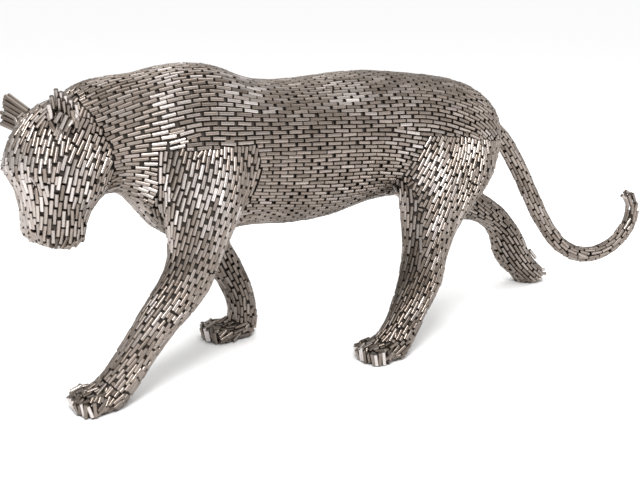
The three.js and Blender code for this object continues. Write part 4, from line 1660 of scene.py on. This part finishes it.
@dataclass
class ToeBars:
    """Upright bars side by side round the front of each paw that stands flat."""

    skin: Skin
    spacing: float = 9.2 * MM
    height: float = 16.0 * MM
    shortest: float = 23.0 * MM
    longest: float = 34.0 * MM
    proud: float = 1.2 * MM
    clear: float = 7.4 * MM
    outside: float = 0.14
    turn_step: float = 2.0
    lean: float = 0.12
    foot: Spot = (0.5, 5.0)
    ground_share: float = 0.4
    ground_glow: float = 0.7
    paws: dict[Zone, Arc] = field(default_factory=lambda: {
        Zone.LEFT_FOREPAW: (-73.5, -14.1, 130.0, 258.0),
        Zone.LEFT_HINDPAW: (-8.5, -16.5, 130.0, 262.0),
        Zone.RIGHT_FOREPAW: (-33.0, 14.1, 105.0, 235.0),
    })

    def build(self, draw: random.Random) -> list[Bar]:
        """Stands the toe bars of all the paws."""
        return [bar for zone, arc in self.paws.items() for bar in self.stand(zone, arc, draw)]

    def stand(self, zone: Zone, arc: Arc, draw: random.Random) -> list[Bar]:
        """Stands the bars of one paw.

        Args:
            zone: the paw.
            arc: its middle in centimetres and the turn it starts and ends at in degrees, 180 at the front.
            draw: the source of chance.

        Returns:
            The bars, evenly spaced.
        """
        x, y, turn, last_turn = arc
        middle = Vector((x * CM, y * CM, self.height))
        bars: list[Bar] = []
        place = None
        while turn <= last_turn:
            way = Vector((math.cos(math.radians(turn)), math.sin(math.radians(turn)), 0.0))
            turn += self.turn_step
            struck, _, _, _ = self.skin.tree.ray_cast(middle + way * self.outside, -way)
            if struck is None or (place and (struck - place).length < self.spacing):
                continue
            place = struck
            bars.append(self.upright(struck, zone, draw))
        return bars

    def upright(self, place: Vector, zone: Zone, draw: random.Random) -> Bar:
        """Stands one bar against the paw."""
        _, normal = self.skin.drop(place)
        up = (Vector((0.0, 0.0, 1.0)) - normal * normal.z).normalized()
        aside = normal.cross(up)
        axis = (up + aside * draw.gauss(0.0, self.lean)).normalized()
        length = draw.uniform(self.shortest, self.longest)
        foot = draw.uniform(*self.foot) * MM
        middle = place + axis * (length / 2 + foot - self.height)
        middle -= normal * (Layout.BAR_RADIUS - self.proud)
        bright = draw.random() < self.ground_share
        return Bar(middle, axis, normal, length, zone, sanding_and_highlight=self.ground_glow if bright else 0.0)

    def make_room(self, bars: list[Bar], toes: list[Bar]) -> list[Bar]:
        """Takes away the bars that the toe bars stand in place of."""
        kept = []
        for bar in bars:
            crowded = bar.zone in self.paws and any(self.gap(bar.middle, toe) < self.clear for toe in toes)
            if not crowded:
                kept.append(bar)
        return kept

    @staticmethod
    def gap(spot: Vector, bar: Bar) -> float:
        """Distance from a spot to the axis of a bar."""
        along = (spot - bar.middle).dot(bar.axis)
        along = min(max(along, -bar.length / 2), bar.length / 2)
        return (spot - bar.middle - bar.axis * along).length


@dataclass
class TailTip:
    """The ragged open end of the tail: two short courses of bars with gaps between them."""

    start_x: float = 78.5
    start_z: float = 20.4
    radius: float = 12.0 * MM
    places: int = 9
    shift: float = 5.0 * MM
    yaw: float = 0.07
    tip: float = 0.05
    lengths: Spot = (0.9, 1.0)
    courses: list[tuple[Spot, Spot, tuple[int, ...]]] = field(default_factory=lambda: [
        ((82.9, 19.4), (83.3, 23.2), (0, 1, 3, 4, 6, 7, 8)),
        ((83.2, 22.4), (81.4, 25.6), (0, 2, 3, 5, 6, 8)),
    ])

    def is_open(self, place: Vector) -> bool:
        """Tells whether a place lies in the open end of the tail."""
        return place.x / CM > self.start_x and place.z / CM > self.start_z

    def build(self, draw: random.Random) -> list[Bar]:
        """Lays the two courses round the line of the tail.

        Args:
            draw: the source of chance.

        Returns:
            The bars.
        """
        bars = []
        across = Vector((0.0, 1.0, 0.0))
        for (x0, z0), (x1, z1), kept in self.courses:
            start, end = Vector((x0 * CM, MID_Y, z0 * CM)), Vector((x1 * CM, MID_Y, z1 * CM))
            along = (end - start).normalized()
            out = across.cross(along)
            for index in kept:
                turn = 2 * math.pi * index / self.places
                normal = out * math.cos(turn) + across * math.sin(turn)
                middle = (start + end) / 2 + normal * self.radius
                middle += along * draw.uniform(-self.shift, self.shift)
                axis = along + normal.cross(along) * draw.gauss(0.0, self.yaw)
                axis += normal * draw.gauss(0.0, self.tip)
                length = Layout.BAR_LENGTH * draw.uniform(*self.lengths)
                bars.append(Bar(middle, axis.normalized(), normal, length, Zone.TAIL))
        return bars


@dataclass
class SingleBars:
    """Bars that jut from the rows, given by their two ends in centimetres and their brightness."""

    bars: list[tuple[Zone, Point, Point, float]] = field(default_factory=lambda: [
        (Zone.RIGHT_HINDLEG, (60.2, 14.6, 9.7), (62.5, 14.6, 7.1), 0.35),
        (Zone.RIGHT_HINDLEG, (63.2, 15.3, 3.6), (66.4, 15.3, 3.2), 0.5),
        (Zone.RIGHT_HINDLEG, (63.7, 15.0, 2.6), (66.6, 15.0, 2.0), 0.0),
        (Zone.RIGHT_HINDLEG, (61.8, 14.6, 1.6), (64.8, 14.6, 0.7), 0.4),
        (Zone.RIGHT_HINDLEG, (63.4, 17.2, 3.0), (66.3, 17.2, 2.3), 0.1),
        (Zone.HEAD, (-83.1, -6.2, 48.2), (-81.4, -6.3, 44.9), 0.75),
        (Zone.LEFT_FOREPAW, (-78.9, -15.0, 5.2), (-76.6, -15.2, 6.1), 0.2),
        (Zone.EAR, (-78.7, -10.3, 61.5), (-78.0, -9.6, 58.6), 0.5),
        (Zone.EAR, (-78.0, -10.1, 62.9), (-77.5, -9.4, 60.4), 0.1),
        (Zone.EAR, (-77.0, -9.9, 64.1), (-76.7, -9.2, 61.5), 0.2),
        (Zone.EAR, (-76.2, -10.2, 63.6), (-75.8, -9.5, 61.0), 0.45),
        (Zone.EAR, (-75.5, -10.7, 63.0), (-75.0, -10.0, 60.3), 0.6),
        (Zone.EAR, (-74.7, -11.2, 62.2), (-74.3, -10.5, 59.6), 0.45),
        (Zone.EAR, (-73.8, -11.6, 61.3), (-73.4, -10.9, 58.8), 0.5),
        (Zone.EAR, (-76.6, -10.1, 62.5), (-76.3, -9.4, 60.0), 0.1),
        (Zone.EAR, (-75.9, -10.8, 62.0), (-75.5, -10.1, 59.5), 0.0),
        (Zone.EAR, (-75.1, -11.3, 61.2), (-74.9, -10.6, 58.8), 0.0),
        (Zone.EAR, (-73.5, -11.2, 59.2), (-75.4, -10.9, 57.1), 0.7),
        (Zone.EAR, (-75.4, -10.8, 59.2), (-76.8, -10.7, 56.5), 0.3),
        (Zone.EAR, (-76.4, -10.5, 59.8), (-77.7, -10.4, 57.8), 0.2),
        (Zone.EAR, (-74.7, -11.0, 58.4), (-76.0, -10.8, 56.0), 0.0),
        (Zone.TAIL, (78.9, 0.3, 25.5), (82.2, 0.3, 23.7), 0.3),
        (Zone.TAIL, (81.0, 1.1, 26.3), (83.9, 1.1, 24.8), 0.1),
    ])

    def build(self) -> list[Bar]:
        """Makes the bars."""
        made = []
        for zone, one, two, bright in self.bars:
            first, second = Vector(one) * CM, Vector(two) * CM
            axis = (second - first).normalized()
            normal = axis.cross(Vector((0.0, 1.0, 0.0))).cross(axis).normalized()
            made.append(Bar((first + second) / 2, axis, -normal, (second - first).length, zone, sanding_and_highlight=bright))
        return made


@dataclass
class Lining:
    """A dark sheet of painted shade for the inside of the shell, seen through the gaps between the bars."""

    skin: Skin
    tip: TailTip
    depth: float = 6.8 * MM

    def is_bare(self, place: Vector) -> bool:
        """Tells whether the shell is open at a place, as in the ears and at the tip of the tail."""
        return self.skin.anatomy.in_ear(place) or self.tip.is_open(place)

    def build(self) -> None:
        """Shrinks the skin behind the bars."""
        mesh = bpy.data.meshes.new("inner_lining")
        points = [p - n * self.depth for p, n in zip(self.skin.points, self.skin.normals)]
        kept = [f for f in self.skin.faces if not any(self.is_bare(self.skin.points[v]) for v in f)]
        used = sorted({v for f in kept for v in f})
        renumber = {v: i for i, v in enumerate(used)}
        mesh.from_pydata([points[v] for v in used], [], [[renumber[v] for v in f] for f in kept])
        mesh.polygons.foreach_set("use_smooth", np.ones(len(mesh.polygons), dtype=bool))
        add_piece("inner_lining", mesh, PaintedShadeLining().make())


@dataclass
class Panther:
    """The whole figure: lays the rows, cuts the bars and makes the pieces."""

    stock: BarStock = field(default_factory=BarStock)
    floor_room: float = 1.05
    neck_x: float = -0.5

    def build(self) -> None:
        """Builds and dresses every piece of the figure."""
        draw = random.Random(SEED)
        anatomy = Anatomy()
        skin = Skin(anatomy=anatomy)
        skin.build()
        log.info("skin: %d points", len(skin.points))
        layout = Layout(skin, anatomy, GuideBook())
        layout.lay_all()
        joiner = Joiner(layout, draw)
        joiner.mark_all()
        bars = [bar for row in layout.rows for bar in joiner.cut(row)]
        log.info("bars in rows: %d", len(bars))
        toes = ToeBars(skin)
        upright = toes.build(draw)
        bars = toes.make_room(bars, upright) + upright
        odd = Filler(layout, draw).fill(bars)
        log.info("odd bars: %d", len(odd))
        tip = TailTip()
        bars = [bar for bar in bars + odd if not tip.is_open(bar.middle)]
        bars += tip.build(draw) + SingleBars().build()
        for bar in bars:
            self.keep_off_floor(bar)
        ears = EarBars(anatomy)
        steel = BarSteel().make()
        groups = self.sort_bars(bars)
        groups["left_ear_bars"] += ears.left(draw)
        groups["right_ear_bars"] = ears.right(draw)
        tones = Tones()
        total = 0
        for name, members in groups.items():
            tones.dress(members, draw)
            add_piece(name, self.stock.mesh(name, members), steel)
            log.info("%s: %d bars", name, len(members))
            total += len(members)
        log.info("bars in all: %d", total)
        Lining(skin, tip).build()

    def keep_off_floor(self, bar: Bar) -> None:
        """Raises a bar that would reach below the floor."""
        upright, radius = abs(bar.axis.z), self.stock.radius * self.floor_room
        lowest = bar.middle.z - upright * bar.length / 2 - radius * math.sqrt(max(1 - upright ** 2, 0.0))
        bar.middle.z += max(-lowest, 0.0)

    def sort_bars(self, bars: list[Bar]) -> dict[str, list[Bar]]:
        """Sorts the bars into the pieces of the figure."""
        names = {
            Zone.HEAD: "head_bars",
            Zone.LEFT_FORELEG: "left_foreleg_bars",
            Zone.LEFT_FOREPAW: "left_forepaw_bars",
            Zone.RIGHT_FORELEG: "right_foreleg_bars",
            Zone.RIGHT_FOREPAW: "right_forepaw_bars",
            Zone.LEFT_THIGH_FRONT: "left_hindleg_bars",
            Zone.LEFT_HINDLEG: "left_hindleg_bars",
            Zone.LEFT_HINDPAW: "left_hindpaw_bars",
            Zone.RIGHT_HINDLEG: "right_hindleg_bars",
            Zone.TAIL: "tail_bars",
            Zone.EAR: "left_ear_bars",
        }
        groups: dict[str, list[Bar]] = {}
        for bar in bars:
            name = names.get(bar.zone)
            if name is None and bar.middle.x < self.neck_x:
                name = "neck_bars"
            elif name is None:
                name = "left_flank_bars" if bar.middle.y < MID_Y else "right_flank_bars"
            groups.setdefault(name, []).append(bar)
        return groups


@dataclass
class Studio:
    """Pale floor, soft lights and the camera."""

    target: Point = (-0.13384, MID_Y, 0.245)
    distance: float = 2.763
    azimuth: float = -29.667
    elevation: float = 13.984
    lens: float = 67.5
    sensor: float = 36.0
    floor_half: float = 60.0
    floor_pale: float = 0.94
    sky: Spot = (0.5, 1.3)
    lamps: dict[str, tuple[Point, float, float]] = field(default_factory=lambda: {
        "key": ((-1.7, -2.6, 2.9), 1.0, 130.0),
        "top": ((0.3, 0.6, 3.2), 1.6, 30.0),
        "fill": ((2.6, -2.0, 1.3), 1.2, 18.0),
    })

    def build(self) -> None:
        """Sets the floor, the lights and the camera."""
        self.set_camera()
        self.set_floor()
        self.set_lights()
        scene = bpy.context.scene
        scene.view_settings.view_transform = "Standard"
        scene.view_settings.exposure = 0.0

    def set_camera(self) -> None:
        """Looks at the figure from the photograph's side."""
        azimuth, elevation = math.radians(self.azimuth), math.radians(self.elevation)
        back = Vector((
            math.sin(azimuth) * math.cos(elevation),
            -math.cos(azimuth) * math.cos(elevation),
            math.sin(elevation),
        ))
        data = bpy.data.cameras.new("camera")
        data.lens = self.lens
        data.sensor_width = self.sensor
        data.dof.use_dof = False
        camera = hang("camera", data)
        camera.location = Vector(self.target) + back * self.distance
        camera.rotation_euler = back.to_track_quat("Z", "Y").to_euler()
        bpy.context.scene.camera = camera

    def set_floor(self) -> None:
        """Lays a plain pale floor."""
        mesh = bpy.data.meshes.new("floor")
        r = self.floor_half
        mesh.from_pydata([(-r, -r, 0), (r, -r, 0), (r, r, 0), (-r, r, 0)], [], [(0, 1, 2, 3)])
        material = bpy.data.materials.new("pale_floor")
        pale = (self.floor_pale, self.floor_pale, self.floor_pale, 1.0)
        Bench(material).wire_shader({"Base Color": pale, "Roughness": 0.9, "Specular IOR Level": 0.1})
        mesh.materials.append(material)
        floor = hang("floor", mesh)

    def set_lights(self) -> None:
        """Hangs soft lights round the figure under a sky that is brighter overhead."""
        world = bpy.data.worlds.new("studio")
        bench = Bench(world)
        way = bench.node("TexCoord", {}).outputs["Generated"]
        height = bench.node("SeparateXYZ", {"Vector": way}).outputs["Z"]
        strength = bench.ranged(height, 0.0, 1.0, *self.sky)
        bench.wire(bench.tree.nodes["Background"], {"Color": (1.0, 1.0, 1.0, 1.0), "Strength": strength})
        bpy.context.scene.world = world
        for name, (place, size, power) in self.lamps.items():
            self.lamp(name, place, size, power)

    def lamp(self, name: str, place: Point, size: float, power: float) -> None:
        """Hangs one square soft light that faces the figure."""
        data = bpy.data.lights.new(name, "AREA")
        data.size = size
        data.energy = power
        lamp = hang(name, data)
        lamp.location = place
        towards = Vector(place) - Vector(self.target)
        lamp.rotation_euler = towards.to_track_quat("Z", "Y").to_euler()


def main() -> None:
    """Builds the studio and the figure and reports each piece."""
    logging.basicConfig(level=logging.INFO, format="%(name)s: %(message)s")
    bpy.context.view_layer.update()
    Studio().build()
    Panther().build()


if __name__ == "__main__":
    main()
